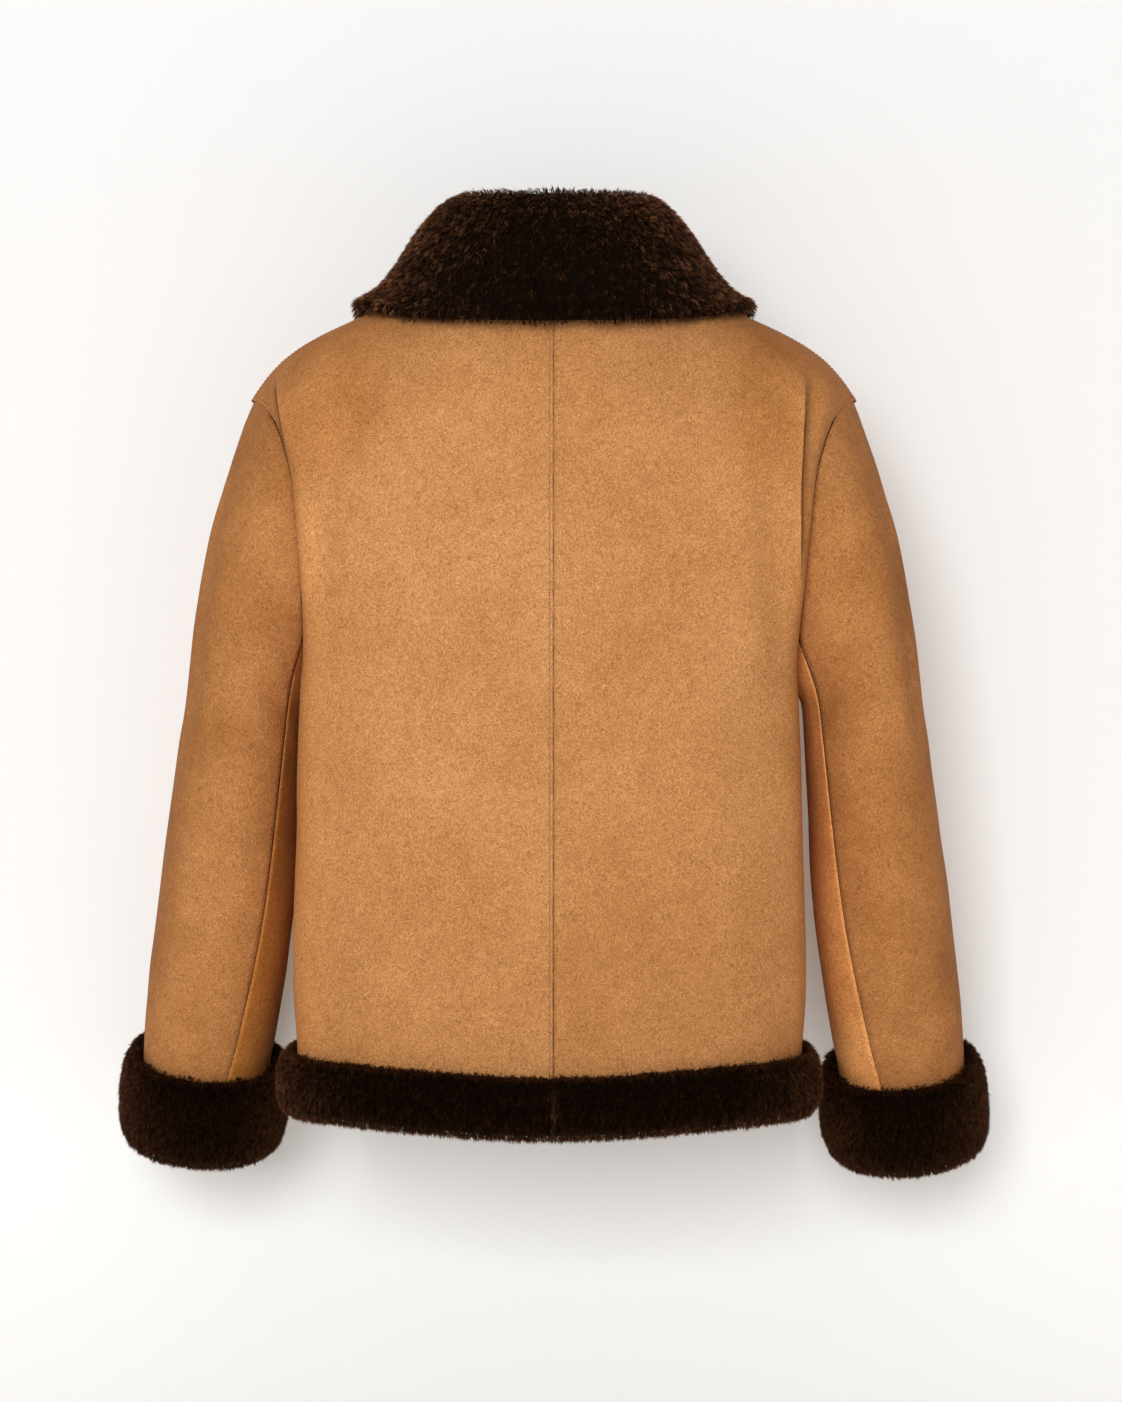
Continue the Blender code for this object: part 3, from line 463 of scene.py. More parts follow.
def pile_material():
    """Blades of the fur: near black at the root, dark brown to the tip, some paler."""
    material, nodes, links, output = new_material("dark_brown_fur")
    body = ramp(nodes, links, own_value(nodes, "along"), (
        (0.0, (0.0026, 0.0009, 0.0003)), (0.50, (0.0100, 0.0037, 0.0013)),
        (1.0, (0.040, 0.0156, 0.0062))))
    shade = ramp(nodes, links, own_value(nodes, "tone"), (
        (0.0, (0.28, 0.25, 0.22)), (0.42, (0.72, 0.71, 0.70)), (0.72, (1.8, 1.8, 1.8)),
        (0.90, (3.4, 3.8, 4.4)), (1.0, (5.6, 6.7, 8.4))))
    colour = blend_colours(nodes, links, "MULTIPLY", 1.0, body, shade)
    turn = nodes.new("ShaderNodeVectorTransform")
    turn.vector_type = "NORMAL"
    turn.convert_from, turn.convert_to = "OBJECT", "WORLD"
    links.new(own_value(nodes, "under_normal", "Vector"), turn.inputs["Vector"])
    # painted highlight: the pile is lighter where its backing turns away from the view, as its
    # edges catch the light
    lit = ramp(nodes, links, facing(nodes, links, turn.outputs["Vector"]), (
        (0.0, (0.78, 0.76, 0.74)), (0.12, (1.0, 1.0, 1.0)), (0.35, (2.6, 2.6, 2.6)),
        (0.70, (4.3, 4.3, 4.4)), (1.0, (6.0, 6.0, 6.2))))
    colour = blend_colours(nodes, links, "MULTIPLY", 1.0, colour, lit)
    shader = matt_surface(nodes, links, output, colour, 0.50, 0.05)
    shader.inputs["Specular Tint"].default_value = (0.95, 0.62, 0.42, 1.0)
    return material


def edge_material():
    """The cut edge of the suede, turned into the seam: darker and matt."""
    material, nodes, links, output = new_material("suede_edge")
    fibres = grain(nodes, links, object_coordinates(nodes), scale=900.0, detail=3.0, roughness=0.7)
    colour = ramp(nodes, links, fibres, (
        (0.3, (0.090, 0.036, 0.013)), (0.7, (0.150, 0.063, 0.024))))
    normal = relief(nodes, links, fibres, 0.0002, 0.6)
    matt_surface(nodes, links, output, colour, 0.95, 0.05, normal)
    return material


def thread_material():
    """Sewing thread, a little darker than the suede."""
    material, nodes, links, output = new_material("tan_thread")
    twist = grain(nodes, links, object_coordinates(nodes), scale=2200.0, detail=2.0)
    colour = ramp(nodes, links, twist, ((0.3, (0.25, 0.105, 0.036)), (0.7, (0.40, 0.180, 0.066))))
    normal = relief(nodes, links, twist, 0.0001, 0.6)
    matt_surface(nodes, links, output, colour, 0.6, 0.5, normal)
    return material


# ---------------------------------------------------------------- meshes from the CAD walls

def merged_copy(node_name):
    """A merged copy of a CAD node as a bmesh, with its four-sided faces put back."""
    bm = bmesh.new()
    bm.from_mesh(frame["nodes"][node_name].data)
    bmesh.ops.remove_doubles(bm, verts=bm.verts, dist=MERGE_NEAR)
    bmesh.ops.join_triangles(bm, faces=bm.faces, angle_face_threshold=QUAD_FLAT,
                             angle_shape_threshold=QUAD_SQUARE, cmp_seam=False)
    return bm


def is_wall_edge(edge):
    """Whether the wall turns sharply over this edge."""
    return len(edge.link_faces) == 2 and edge.calc_face_angle(0.0) > WALL_EDGE


def mark_faces(bm, kind, sign):
    """Give each face of a wall its material: outer face, inner face, or the edge all round."""
    bm.normal_update()
    for face in bm.faces:
        towards = Vector(outward_of(kind, sign, np.array([face.calc_center_median()]))[0])
        towards = towards.dot(face.normal)
        sharp = [edge for edge in face.edges if is_wall_edge(edge)]
        across = len(sharp) > 1 and any(
            not set(first.verts) & set(second.verts) for first in sharp for second in sharp)
        if across or (sharp and len(face.verts) == 3 and abs(towards) < EDGE_ON):
            face.material_index = CUT_EDGE
        else:
            face.material_index = INSIDE if towards < 0.0 else OUTSIDE


def mesh_from(name, bm):
    """A mesh from a bmesh, which is used up."""
    mesh = bpy.data.meshes.new(name)
    bm.to_mesh(mesh)
    bm.free()
    return mesh


def add_object(name, data):
    """A new object in the scene."""
    made = bpy.data.objects.new(name, data)
    bpy.context.scene.collection.objects.link(made)
    return made


def piece_from(name, bm, materials):
    """A finished object from a bmesh, made smooth by subdivision with its wall edges kept."""
    crease = bm.edges.layers.float.get("crease_edge") or bm.edges.layers.float.new("crease_edge")
    for edge in bm.edges:
        if is_wall_edge(edge):
            edge[crease] = 1.0
    piece = add_object(name, mesh_from(name, bm))
    finer = piece.modifiers.new("finer", "SUBSURF")
    finer.levels = finer.render_levels = FINER_LEVELS
    finer.boundary_smooth = "PRESERVE_CORNERS"
    apply_modifiers(piece)
    for material in materials:
        piece.data.materials.append(material)
    piece.data.shade_smooth()
    piece.data.set_sharp_from_angle(angle=WALL_EDGE)
    return piece


def apply_modifiers(piece):
    """Write the modifiers' result into the piece's mesh."""
    graph = bpy.context.evaluated_depsgraph_get()
    made = bpy.data.meshes.new_from_object(piece.evaluated_get(graph))
    piece.modifiers.clear()
    old = piece.data
    piece.data = made
    bpy.data.meshes.remove(old)
    made.name = piece.name


def vertex_array(mesh, name="co"):
    """A mesh's vertex places or normals as rows."""
    values = np.empty(len(mesh.vertices) * 3)
    if name == "co":
        mesh.vertices.foreach_get("co", values)
    else:
        mesh.vertex_normals.foreach_get("vector", values)
    return values.reshape(-1, 3)


def set_vertices(mesh, places):
    """Move a mesh's vertices to the given rows."""
    mesh.vertices.foreach_set("co", np.asarray(places).ravel())
    mesh.update()


def triangle_corners(mesh):
    """The vertices of a mesh's triangles, a row for each."""
    mesh.calc_loop_triangles()
    corners = np.empty(len(mesh.loop_triangles) * 3, dtype=np.int32)
    mesh.loop_triangles.foreach_get("vertices", corners)
    return corners.reshape(-1, 3)


def keep_values(mesh, name, values):
    """Keep a value for each vertex on a mesh."""
    mesh.attributes.new(name, "FLOAT", "POINT").data.foreach_set("value", values)


def kept_values(mesh, name):
    """Values that keep_values put on a mesh."""
    values = np.empty(len(mesh.vertices))
    mesh.attributes[name].data.foreach_get("value", values)
    return values


def tree_of(points):
    """A tree that finds the nearest of some points."""
    tree = KDTree(len(points))
    for index, point in enumerate(points):
        tree.insert(point, index)
    tree.balance()
    return tree


def unit(rows):
    """Rows scaled to length 1."""
    return rows / np.maximum(np.linalg.norm(rows, axis=-1, keepdims=True), 1e-12)


def smooth(value):
    """Ease from 0 to 1 with level ends."""
    value = np.clip(value, 0.0, 1.0)
    return value * value * (3.0 - 2.0 * value)


def sleeve_middle(places, sign):
    """The sleeve's centreline at the height of each place."""
    down = -places[:, 2]
    x = sign * (SLEEVE_FROM_X + SLEEVE_LEAN * np.clip(down - SLEEVE_FROM_DOWN, 0.0, 1.0)
                - WRIST_LEAN * np.clip(down - WRIST_FROM_DOWN, 0.0, 1.0))
    y = SLEEVE_FROM_Y - ELBOW_BEND * np.clip(down - ELBOW_FROM_DOWN, 0.0, 1.0) ** ELBOW_CURVE
    return np.stack((x, y, places[:, 2]), axis=1)


def outward_of(kind, sign, places):
    """Direction away from the hollow, the same on both faces of the wall."""
    if kind in ("back", "front"):
        x = places[:, 0] / BODY_HALF_WIDTH
        y = places[:, 1] / BODY_HALF_DEPTH
        rise = smooth((places[:, 2] - SHOULDER_LOW) / SHOULDER_REACH)
        way = np.stack((np.sign(x) * x**2 / BODY_HALF_WIDTH, np.sign(y) * y**2 / BODY_HALF_DEPTH,
                        SHOULDER_RISE * rise), axis=1)
    else:
        way = places - sleeve_middle(places, sign)
    return unit(way)


def distance_to_line(points, start, end):
    """Distance of each point to a line, and how far along the line it lies, from 0 to 1."""
    run = end - start
    along = np.clip(((points - start) @ run) / (run @ run), 0.0, 1.0)
    away = points - (start + along[:, None] * run)
    return np.linalg.norm(away, axis=1), along


def uneven(places, scale, offset, finer_share, finer_scale):
    """Soft noise at each place, in two sizes."""
    shift = Vector(offset)
    return np.array([noise.noise(Vector(place) * scale + shift)
                     + finer_share * noise.noise(Vector(place) * finer_scale)
                     for place in places])


def crease_depths(kind, sign, places):
    """How far the cloth goes in at each place because of its creases and its slack."""
    depth = np.zeros(len(places))
    if kind in ("back", "front"):
        flat = places[:, [0, 2]]
        creases = BACK_CREASES if kind == "back" else FRONT_CREASES
    else:
        spoke = places - sleeve_middle(places, sign)
        angle = np.degrees(np.arctan2(spoke[:, 1], sign * spoke[:, 0])) % 360.0
        flat = np.stack((angle / 360.0 * SLEEVE_GIRTH, places[:, 2]), axis=1)
        creases = [(a / 360.0 * SLEEVE_GIRTH, z0, b / 360.0 * SLEEVE_GIRTH, z1, width, deep)
                   for a, z0, b, z1, width, deep in SLEEVE_CREASES]
    for x0, z0, x1, z1, half_width, deep in creases:
        away, along = distance_to_line(flat, np.array((x0, z0)), np.array((x1, z1)))
        profile = np.exp(-(away / half_width) ** 2) - RIDGE_SHARE * np.exp(
            -((away - RIDGE_AWAY * half_width) / half_width) ** 2)
        fade = smooth(along / CREASE_ENDS) * smooth((1.0 - along) / CREASE_ENDS)
        depth += deep * profile * (CREASE_LEAST + (1.0 - CREASE_LEAST) * fade)
    return depth + SLACK * uneven(places, 11.0, (3.0, 7.0, 1.0), 0.5, 27.0)


def fold_marks(kind, side, sign, places):
    """How far each place is past the fold, towards the sleeve, and how marked the fold is."""
    if kind != "back":
        return np.zeros(len(places)), np.zeros(len(places))
    points = np.array(FOLDS[side])
    flat = places[:, [0, 2]]
    nearest = np.full(len(places), np.inf)
    share = np.zeros(len(places))
    for index, (start, end) in enumerate(zip(points, points[1:])):
        away, along = distance_to_line(flat, start, end)
        closer = away < nearest
        nearest[closer] = away[closer]
        share[closer] = (index + along[closer]) / (len(points) - 1)
    line = np.interp(-flat[:, 1], -points[:, 1], points[:, 0])
    past = nearest * np.sign(sign * (flat[:, 0] - line))
    marked = smooth(share / FOLD_STARTS) * smooth((1.0 - share) / FOLD_FADES)
    marked = marked * (places[:, 1] > 0.0)
    return past, marked


def nap_and_painted_shading(kind, side, places):
    """Tint of the suede for each vertex, piece by piece: random strokes of the nap, with painted
    shade on the sleeves, hem and shoulders and painted light on the body's sides.
    """
    of_body = kind in ("back", "front")
    out, height = np.abs(places[:, 0]), places[:, 2]
    # painted shade low on the body and at its shoulders, painted light at its sides
    low = smooth((-height - LOW_PAINTED_SHADE_FROM) / LOW_PAINTED_SHADE_REACH)[:, None] * of_body
    top = smooth((height - SHOULDER_PAINTED_SHADE_FROM[1]) / SHOULDER_PAINTED_SHADE_REACH[1])
    top = top * smooth((out - SHOULDER_PAINTED_SHADE_FROM[0]) / SHOULDER_PAINTED_SHADE_REACH[0])
    top = top[:, None] * of_body
    edge = smooth((out - SIDE_PAINTED_LIGHT_FROM[0]) / SIDE_PAINTED_LIGHT_REACH[0])
    edge = edge * smooth((-height - SIDE_PAINTED_LIGHT_FROM[1]) / SIDE_PAINTED_LIGHT_REACH[1])
    edge = edge[:, None] * of_body
    shade = np.array(PIECE_TINT_AND_PAINTED_SHADE[kind][side]) * (1.0 - low * np.array(LOW_PAINTED_SHADE))
    shade = shade * (1.0 - top * np.array(SHOULDER_PAINTED_SHADE)) * (1.0 + edge * np.array(SIDE_PAINTED_LIGHT))
    rubbed = NAP_LEAST_RUBBED + (1.0 - NAP_LEAST_RUBBED) * top[:, 0] if of_body else 1.0
    stroke = NAP_STROKE * rubbed * uneven(places, 16.0, (9.0, 2.0, 5.0), 0.7, 45.0)
    shade = shade * (1.0 + stroke[:, None] * np.array(NAP_STROKE_COLOUR))
    return np.concatenate((shade, np.ones((len(places), 1))), axis=1)


def sharp_points(bm):
    """Points along the wall edges of a bmesh."""
    points = []
    for edge in bm.edges:
        if is_wall_edge(edge):
            steps = max(1, int(edge.calc_length() / SEAM_STEP))
            start, end = (vert.co.copy() for vert in edge.verts)
            points += [start.lerp(end, k / steps) for k in range(steps)]
    return points


def is_stitched(kind, side, point):
    """Whether a piece is sewn down by a row of stitches along the seam at this point."""
    x, y, z = abs(point.x), point.y, point.z
    if kind in ("back", "front"):
        centre = x < CENTRE_NEAR and (kind == "front" or side == "left")
        armhole = x > ARMHOLE_FROM_X and ARMHOLE_LOW < z < ARMHOLE_HIGH
        shoulder = (kind == "back" and abs(y) < SHOULDER_SEAM_NEAR and z > ARMHOLE_HIGH
                    and x > NECK_X)
        return float((centre and z > HEM_STITCH_END) or armhole or shoulder)
    if kind == "sleeve_top":
        return float(SLEEVE_STITCH_END < z < SLEEVE_STITCH_START)
    return 0.0


def outer_share(mesh):
    """For each vertex, 1 on the outer face and its rim, less on the edge, 0 on the inner face."""
    share = np.zeros(len(mesh.vertices))
    for wanted, value in ((CUT_EDGE, EDGE_DRAW), (INSIDE, 0.0), (OUTSIDE, 1.0)):
        for face in mesh.polygons:
            if face.material_index == wanted:
                share[list(face.vertices)] = value
    return share


def edge_ways(mesh):
    """For each vertex on the edge all round, the way out of the piece; nothing elsewhere."""
    ways = np.zeros((len(mesh.vertices), 3))
    for face in mesh.polygons:
        if face.material_index == CUT_EDGE:
            ways[list(face.vertices)] += np.array(face.normal)
    return ways / np.maximum(np.linalg.norm(ways, axis=1, keepdims=True), 1e-9)


def suede_shell(kind, side, sign, materials):
    """A suede panel or sleeve piece: the CAD wall made finer, creased and drawn in at seams."""
    node = f"{kind}_{side}"
    bm = merged_copy(node)
    seams = sharp_points(bm)
    mark_faces(bm, kind, sign)
    piece = piece_from(f"{node}_cloth", bm, materials)
    mesh = piece.data
    places = vertex_array(mesh)
    outward = outward_of(kind, sign, places)
    tree = tree_of(seams)
    found = [tree.find(Vector(place)) for place in places]
    away = np.array([hit[2] for hit in found])
    tags = [is_stitched(kind, side, point) for point in seams]
    stitched = np.array([tags[hit[1]] for hit in found])
    near = np.clip(1.0 - away / SEAM_REACH, 0.0, 1.0) ** 2
    move = crease_depths(kind, sign, places) * smooth(away / CREASE_FREE)
    move = move + SEAM_DEPTH * near * outer_share(mesh)
    settled = places - move[:, None] * outward + SEAM_CLOSED * edge_ways(mesh)
    if kind == "front":
        opening = np.abs(settled[:, 0]) < OPENING_REACH
        settled[opening, 0] = sign * OPENING_HALF
    set_vertices(mesh, settled)
    past, marked = fold_marks(kind, side, sign, places)
    keep_values(mesh, "seam_distance", np.minimum(away, SEAM_SEEN))
    keep_values(mesh, "stitched", stitched)
    keep_values(mesh, "past_fold", past)
    keep_values(mesh, "fold_marked", marked)
    # the nap's strokes together with painted shade and painted light, as a colour for each vertex
    nap = mesh.attributes.new("nap_and_painted_shading", "FLOAT_COLOR", "POINT")
    nap.data.foreach_set("color", nap_and_painted_shading(kind, side, places).ravel())
    mesh.update()
    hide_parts(node)
    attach(piece, "root")
    return piece


# ---------------------------------------------------------------- stitches

def even_runs(mesh):
    """Short straight runs where a shell's outside is STITCH_OFFSET from a stitched seam."""
    corners = triangle_corners(mesh)
    faces = np.empty(len(mesh.loop_triangles), dtype=np.int32)
    mesh.loop_triangles.foreach_get("material_index", faces)
    distance, stitched = kept_values(mesh, "seam_distance"), kept_values(mesh, "stitched")
    places = vertex_array(mesh)
    normals = vertex_array(mesh, "normals")
    over = distance[corners] > STITCH_OFFSET
    crossed = np.flatnonzero((over.sum(axis=1) % 3 > 0) & (stitched[corners].min(axis=1) > 0.5)
                             & (faces == OUTSIDE))
    runs = []
    for index in crossed:
        ends = []
        for j, k in ((0, 1), (1, 2), (2, 0)):
            a, b = corners[index][j], corners[index][k]
            if (distance[a] > STITCH_OFFSET) != (distance[b] > STITCH_OFFSET):
                share = (STITCH_OFFSET - distance[a]) / (distance[b] - distance[a])
                ends.append(places[a] + share * (places[b] - places[a]))
        runs.append((ends[0], ends[1], unit(normals[corners[index]].sum(axis=0))))
    return runs


def chained(runs):
    """Runs joined end to end into lines of points with their normals."""
    def key(point):
        return tuple(np.round(point / MERGE_NEAR).astype(int))

    ends = {}
    for index, (start, end, _) in enumerate(runs):
        ends.setdefault(key(start), []).append(index)
        ends.setdefault(key(end), []).append(index)
    unused = set(range(len(runs)))
    lines = []
    while unused:
        first = next((i for i in sorted(unused) if len(ends[key(runs[i][0])]) == 1
                      or len(ends[key(runs[i][1])]) == 1), min(unused))
        start, end, normal = runs[first]
        if len(ends[key(end)]) == 1 and len(ends[key(start)]) > 1:
            start, end = end, start
        unused.discard(first)
        line = [(start, normal), (end, normal)]
        while True:
            nearby = [i for i in ends[key(line[-1][0])] if i in unused]
            if not nearby:
                break
            unused.discard(nearby[0])
            a, b, normal = runs[nearby[0]]
            line.append((b if key(a) == key(line[-1][0]) else a, normal))
        lines.append(line)
    return lines


def add_stitch(bm, place, along, up):
    """One stitch: a short thread that bows up between its two holes."""
    across = along.cross(up)
    rings = []
    for share, rise in ((-0.5, STITCH_SINK), (0.0, STITCH_RISE), (0.5, STITCH_SINK)):
        middle = place + along * (share * STITCH_LENGTH) + up * rise
        thick = STITCH_THICK * (1.0 if share == 0.0 else STITCH_TIP)
        ring = []
        for turn in (math.radians(90), math.radians(210), math.radians(330)):
            spoke = across * math.cos(turn) + up * math.sin(turn)
            ring.append(bm.verts.new(middle + spoke * thick))
        rings.append(ring)
    for first, second in zip(rings, rings[1:]):
        for k in range(3):
            bm.faces.new((first[k], second[k], second[(k + 1) % 3], first[(k + 1) % 3]))
    bm.faces.new(rings[0])
    bm.faces.new(rings[-1][::-1])


def row_at(distance, along, rows):
    """The row that lies at a distance along a line, between those of its points."""
    return np.array([np.interp(distance, along, rows[:, k]) for k in range(3)])


def stitch_rows(shell, material):
    """The rows of stitches along a piece's sewn-down seams."""
    bm = bmesh.new()
    for line in chained(even_runs(shell.data)):
        points = np.array([point for point, _ in line])
        normals = np.array([normal for _, normal in line])
        steps = np.linalg.norm(np.diff(points, axis=0), axis=1)
        along = np.concatenate(([0.0], np.cumsum(steps)))
        if along[-1] < LEAST_STITCHES * STITCH_PITCH:
            continue
        for middle in np.arange(STITCH_PITCH / 2, along[-1] - STITCH_PITCH / 2, STITCH_PITCH):
            ahead = row_at(middle + STITCH_LENGTH / 2, along, points)
            behind = row_at(middle - STITCH_LENGTH / 2, along, points)
            up = row_at(middle, along, normals)
            run = Vector(unit(ahead - behind))
            up = (Vector(up) - run * run.dot(Vector(up))).normalized()
            add_stitch(bm, Vector((ahead + behind) / 2), run, up)
    if not bm.verts:
        bm.free()
        return []
    bmesh.ops.recalc_face_normals(bm, faces=bm.faces)
    name = shell.name.replace("_cloth", "_stitches")
    mesh = mesh_from(name, bm)
    mesh.materials.append(material)
    mesh.shade_smooth()
    rows = add_object(name, mesh)
    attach(rows, "root")
    return [rows]


# ---------------------------------------------------------------- fur

def comb_direction(kind, sign, places):
    """The way the pile is combed: down the jacket, down the arm, or down the collar leaf."""
    down = np.tile(np.array((0.0, 0.0, -1.0)), (len(places), 1))
    if kind == "cuff":
        down = np.tile(np.array(CUFF_COMB) * (sign, 1.0, 1.0), (len(places), 1))
    if kind == "collar":
        spread = np.stack((places[:, 0], places[:, 1], np.zeros(len(places))), axis=1)
        down = down + COLLAR_SPREAD * unit(spread)
    return unit(down)


def exposure(places, walls):
    """0 where a place lies against a suede wall, 1 where it is clear of all of them."""
    nearest = [min((tree.find_nearest(Vector(place), WALL_CLEAR)[3] or WALL_CLEAR)
                   for tree in walls) for place in places]
    return smooth((np.array(nearest) - WALL_TOUCHES) / (WALL_CLEAR - WALL_TOUCHES))


def fur_backing(kind, node, walls, material):
    """The dense backing under the pile: the CAD band drawn in by the depth of the pile."""
    piece = piece_from(f"{node}_backing", merged_copy(node), [material])
    mesh = piece.data
    places = vertex_array(mesh)
    normals = vertex_array(mesh, "normals")
    clear = exposure(places, walls)
    lumps = np.array([noise.noise(Vector(place) * LUMP_SIZE) for place in places])
    drawn_in = FUR[kind].depth * clear * (1.0 + LUMP_SHARE * lumps)
    set_vertices(mesh, places - drawn_in[:, None] * normals)
    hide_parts(node)
    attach(piece, "root")
    return piece, clear


def scatter(mesh, weights, count, rng):
    """Random points on a mesh, with their normals; weights are a share for each vertex."""
    triangles = triangle_corners(mesh)
    places = vertex_array(mesh)
    normals = vertex_array(mesh, "normals")
    a, b, c = (places[triangles[:, k]] for k in range(3))
    area = np.linalg.norm(np.cross(b - a, c - a), axis=1) * weights[triangles].mean(axis=1)
    chosen = rng.choice(len(triangles), size=count, p=area / area.sum())
    u, v = rng.random(count), rng.random(count)
    over = u + v > 1.0
    u[over], v[over] = 1.0 - u[over], 1.0 - v[over]
    w = 1.0 - u - v
    corners = triangles[chosen]
    share = np.stack((w, u, v), axis=1)[:, :, None]
    return (places[corners] * share).sum(axis=1), unit((normals[corners] * share).sum(axis=1))


def gathered(roots, middle, tips, locks, rng):
    """The blades' middles and tips, leaned together in locks, and the lock of each blade."""
    centres = rng.choice(len(roots), size=locks, replace=False)
    tree = tree_of(roots[centres])
    lock = np.array([tree.find(root)[1] for root in roots])
    lean = tips[centres[lock]] - tips
    near = np.linalg.norm(lean, axis=1, keepdims=True) < CLUMP_REACH
    gather = CLUMP_LEAN * near
    return middle + CLUMP_MIDDLE * gather * lean, tips + gather * lean, lock


def blade_mesh(name, places):
    """One mesh of many blades, each with four points: root, two at the middle, and tip."""
    blades = len(places) // 4
    corners = (4 * np.arange(blades)[:, None, None] + BLADE_FACES).ravel()
    mesh = bpy.data.meshes.new(name)
    mesh.vertices.add(len(places))
    mesh.vertices.foreach_set("co", places.ravel())
    mesh.loops.add(len(corners))
    mesh.loops.foreach_set("vertex_index", corners.astype(np.int32))
    mesh.polygons.add(len(corners) // 3)
    mesh.polygons.foreach_set("loop_start", np.arange(0, len(corners), 3, dtype=np.int32))
    mesh.update(calc_edges=True)
    return mesh


def pile(kind, node, backing, clear, sign, material, rng):
    """The fur itself: bent blades that lean together in locks, joined into one mesh."""
    cut = FUR[kind]
    blades = cut.blades
    up = smooth((vertex_array(backing.data, "normals")[:, 2] - TOP_FROM) / TOP_REACH)
    roots, normals = scatter(backing.data, clear**2 * (1.0 + TOP_PILE * up), blades, rng)
    comb = comb_direction(kind, sign, roots)
    comb = unit(comb - COMB_FLAT * np.sum(comb * normals, axis=1, keepdims=True) * normals
                + COMB_STRAY * rng.normal(size=roots.shape))
    lengths = cut.length * (BLADE_SHORTEST + BLADE_LONGER * rng.random(blades))[:, None]
    lift = BLADE_LIFT + BLADE_LIFT_STRAY * rng.normal(size=(blades, 1))
    middle = roots + lengths * 0.5 * unit(normals * (lift + BLADE_LOWER[0])
                                          + comb * BLADE_LOWER[1])
    tips = middle + lengths * 0.5 * unit(normals * (lift + BLADE_UPPER[0])
                                         + comb * BLADE_UPPER[1])
    locks = max(1, blades // CLUMP_BLADES)
    middle, tips, lock = gathered(roots, middle, tips, locks, rng)
    across = unit(np.cross(tips - roots, normals + BLADE_TWIST * rng.normal(size=roots.shape)))
    wide = cut.half_width * (BLADE_NARROWEST + BLADE_WIDER * rng.random((blades, 1)))
    places = np.stack((roots, middle - across * wide, middle + across * wide, tips), axis=1)
    mesh = blade_mesh(f"{node}_pile", places.reshape(-1, 3))
    lock_tone = rng.random(locks)[lock]
    tone = cut.brightness * (CLUMP_TONE * lock_tone + (1.0 - CLUMP_TONE) * rng.random(blades))
    keep_values(mesh, "tone", np.repeat(tone, 4))
    keep_values(mesh, "along", np.tile(np.array(BLADE_ALONG), blades))
    under = mesh.attributes.new("under_normal", "FLOAT_VECTOR", "POINT")
    under.data.foreach_set("vector", np.repeat(normals, 4, axis=0).ravel())
    mesh.materials.append(material)
    mesh.shade_smooth()
    piece = add_object(mesh.name, mesh)
    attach(piece, "root")
    return piece


# ---------------------------------------------------------------- stage

def backdrop_material():
    """Pale and matt, warmer low down, and clear from behind."""
    material, nodes, links, output = new_material("pale_backdrop")
    place = nodes.new("ShaderNodeSeparateXYZ")
    links.new(object_coordinates(nodes), place.inputs["Vector"])
    low_end, top_start = BACKDROP_FADE
    height = fall_off(nodes, links, place.outputs["Z"], top_start, "LINEAR", low_end)
    pale = ramp(nodes, links, height, ((0.0, BACKDROP_TOP), (1.0, BACKDROP_LOW)))
    shader = matt_surface(nodes, links, output, pale, 0.95, 0.0)
    # painted light: a faint warm glow that lightens the shadows on the backdrop
    shader.inputs["Emission Color"].default_value = BACKDROP_GLOW
    shader.inputs["Emission Strength"].default_value = 1.0
    clear = nodes.new("ShaderNodeBsdfTransparent")
    side = nodes.new("ShaderNodeNewGeometry")
    mix = nodes.new("ShaderNodeMixShader")
    links.new(side.outputs["Backfacing"], mix.inputs["Fac"])
    links.new(shader.outputs["BSDF"], mix.inputs[1])
    links.new(clear.outputs["BSDF"], mix.inputs[2])
    links.new(mix.outputs["Shader"], output.inputs["Surface"])
    return material


def backdrop():
    """A plain pale floor that curves up into the backdrop behind the jacket."""
    profile = [(BACKDROP_NEAR_Y, FLOOR_Z), (BACKDROP_Y + BACKDROP_CORNER, FLOOR_Z)]
    for step in range(1, BACKDROP_STEPS + 1):
        turn = math.pi / 2 * step / BACKDROP_STEPS
        profile.append((BACKDROP_Y + BACKDROP_CORNER - BACKDROP_CORNER * math.sin(turn),
                        FLOOR_Z + BACKDROP_CORNER - BACKDROP_CORNER * math.cos(turn)))
    profile.append((BACKDROP_Y, BACKDROP_TOP_Z))
    bm = bmesh.new()
    run = [bm.verts.new((-BACKDROP_HALF_WIDTH, y, z)) for y, z in profile]
    edges = [bm.edges.new(pair) for pair in zip(run, run[1:])]
    out = bmesh.ops.extrude_edge_only(bm, edges=edges)
    moved = [part for part in out["geom"] if isinstance(part, bmesh.types.BMVert)]
    bmesh.ops.translate(bm, verts=moved, vec=(2.0 * BACKDROP_HALF_WIDTH, 0.0, 0.0))
    bmesh.ops.recalc_face_normals(bm, faces=bm.faces)
    if sum(face.normal.z for face in bm.faces) < 0:
        bmesh.ops.reverse_faces(bm, faces=bm.faces)
    mesh = mesh_from("backdrop", bm)
    mesh.shade_smooth()
    mesh.materials.append(backdrop_material())
    add_object("backdrop", mesh)


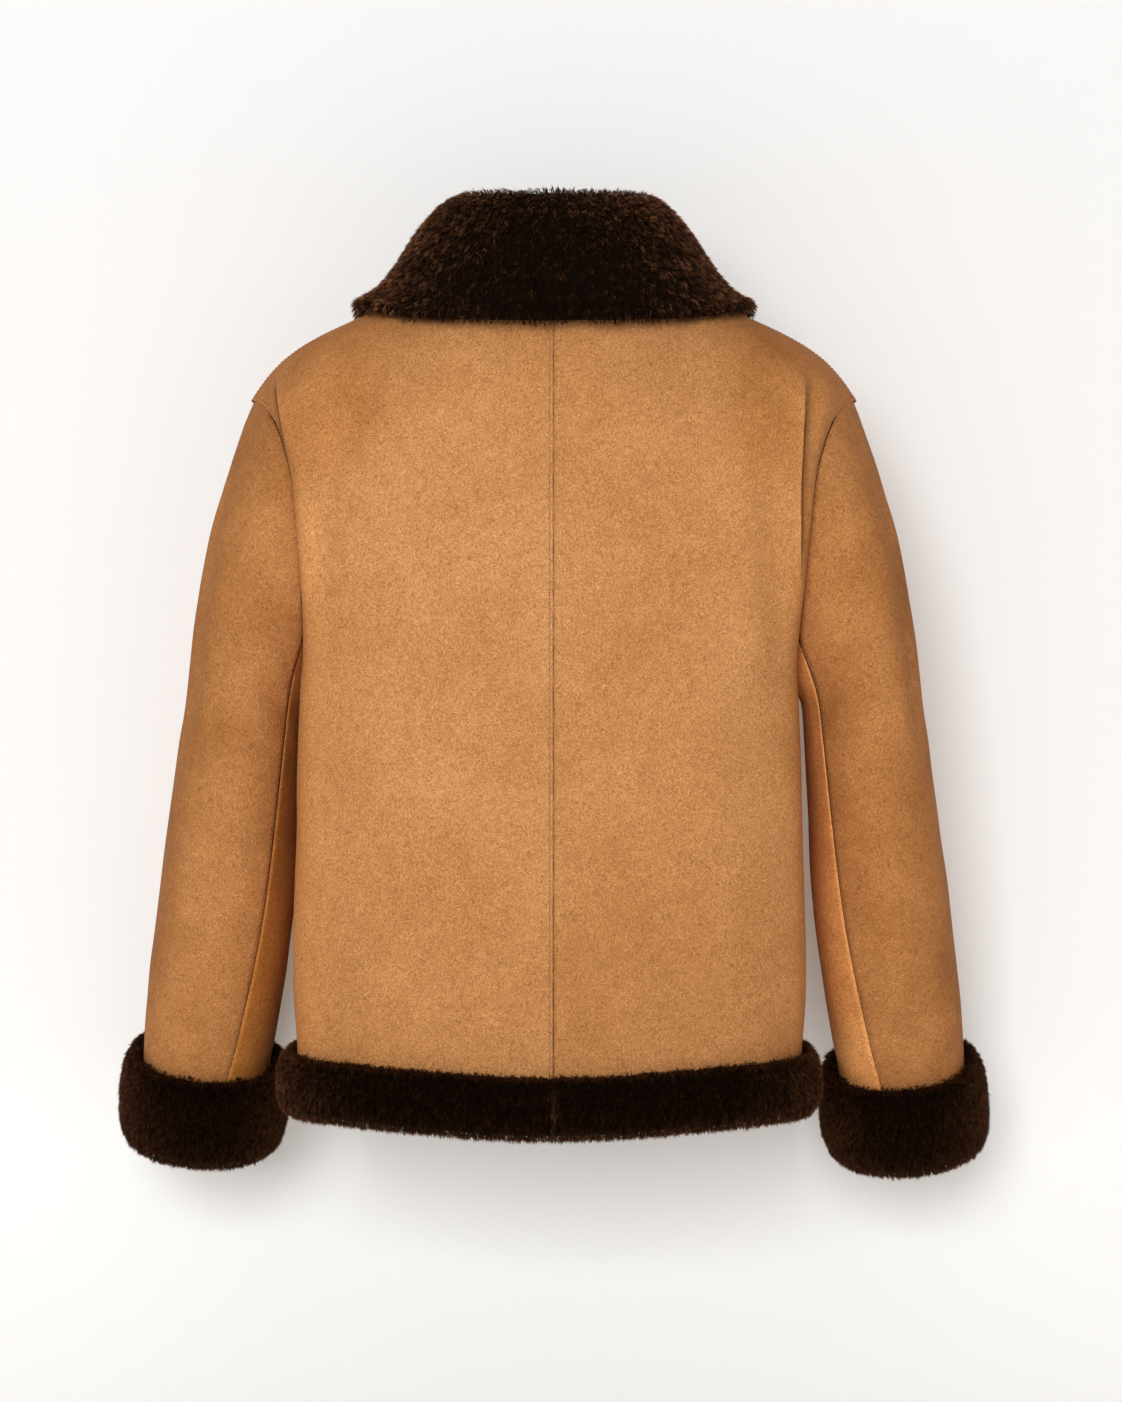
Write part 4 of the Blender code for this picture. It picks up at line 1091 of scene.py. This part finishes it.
def key_light():
    """One large square soft box behind the camera, aimed at the jacket."""
    data = bpy.data.lights.new("key", "AREA")
    data.shape = "SQUARE"
    data.size = KEY_SIZE
    data.energy = KEY_POWER
    data.color = KEY_COLOUR
    light = add_object("key", data)
    light.location = KEY_PLACE
    ahead = Vector(KEY_AIM) - Vector(KEY_PLACE)
    light.rotation_euler = ahead.to_track_quat("-Z", "Y").to_euler()


def camera():
    """The camera at the photo's angle, level and square to the jacket's back."""
    data = bpy.data.cameras.new("camera")
    data.lens = CAMERA_LENS
    data.sensor_fit = "VERTICAL"
    data.sensor_height = CAMERA_SENSOR
    view = add_object("camera", data)
    view.location = CAMERA_PLACE
    ahead = Vector((0.0, -1.0, 0.0))
    view.rotation_euler = ahead.to_track_quat("-Z", "Y").to_euler()
    bpy.context.scene.camera = view


def world():
    """Even pale light from all round."""
    made = bpy.data.worlds.new("studio")
    made.use_nodes = True
    background = made.node_tree.nodes["Background"]
    background.inputs["Color"].default_value = WORLD_COLOUR
    background.inputs["Strength"].default_value = WORLD_STRENGTH
    bpy.context.scene.world = made


# ---------------------------------------------------------------- the jacket

suede = suede_material()
plush = plush_material("brown_plush_inside")
cut_edge = edge_material()
backing = plush_material("brown_fur_backing")
fur = pile_material()
thread = thread_material()

for side, sign in SIDES:
    for kind in SUEDE_PIECES:
        shell = suede_shell(kind, side, sign, [suede, plush, cut_edge])
        stitch_rows(shell, thread)

wall_trees = []
for side, _ in SIDES:
    for kind in SUEDE_PIECES:
        data = frame["nodes"][f"{kind}_{side}"].data
        data.calc_loop_triangles()
        wall_trees.append(BVHTree.FromPolygons([tuple(v.co) for v in data.vertices],
                                               [tuple(t.vertices) for t in data.loop_triangles]))

rng = np.random.default_rng(SEED)
fur_nodes = [("collar", "collar", 1.0)]
for side, sign in SIDES:
    fur_nodes += [("hem_band", f"hem_band_{side}", sign), ("cuff", f"cuff_{side}", sign)]
for kind, node, sign in fur_nodes:
    base, clear = fur_backing(kind, node, wall_trees, backing)
    pile(kind, node, base, clear, sign, fur, rng)

bpy.context.scene.view_settings.view_transform = "Standard"
camera()
backdrop()
world()
key_light()
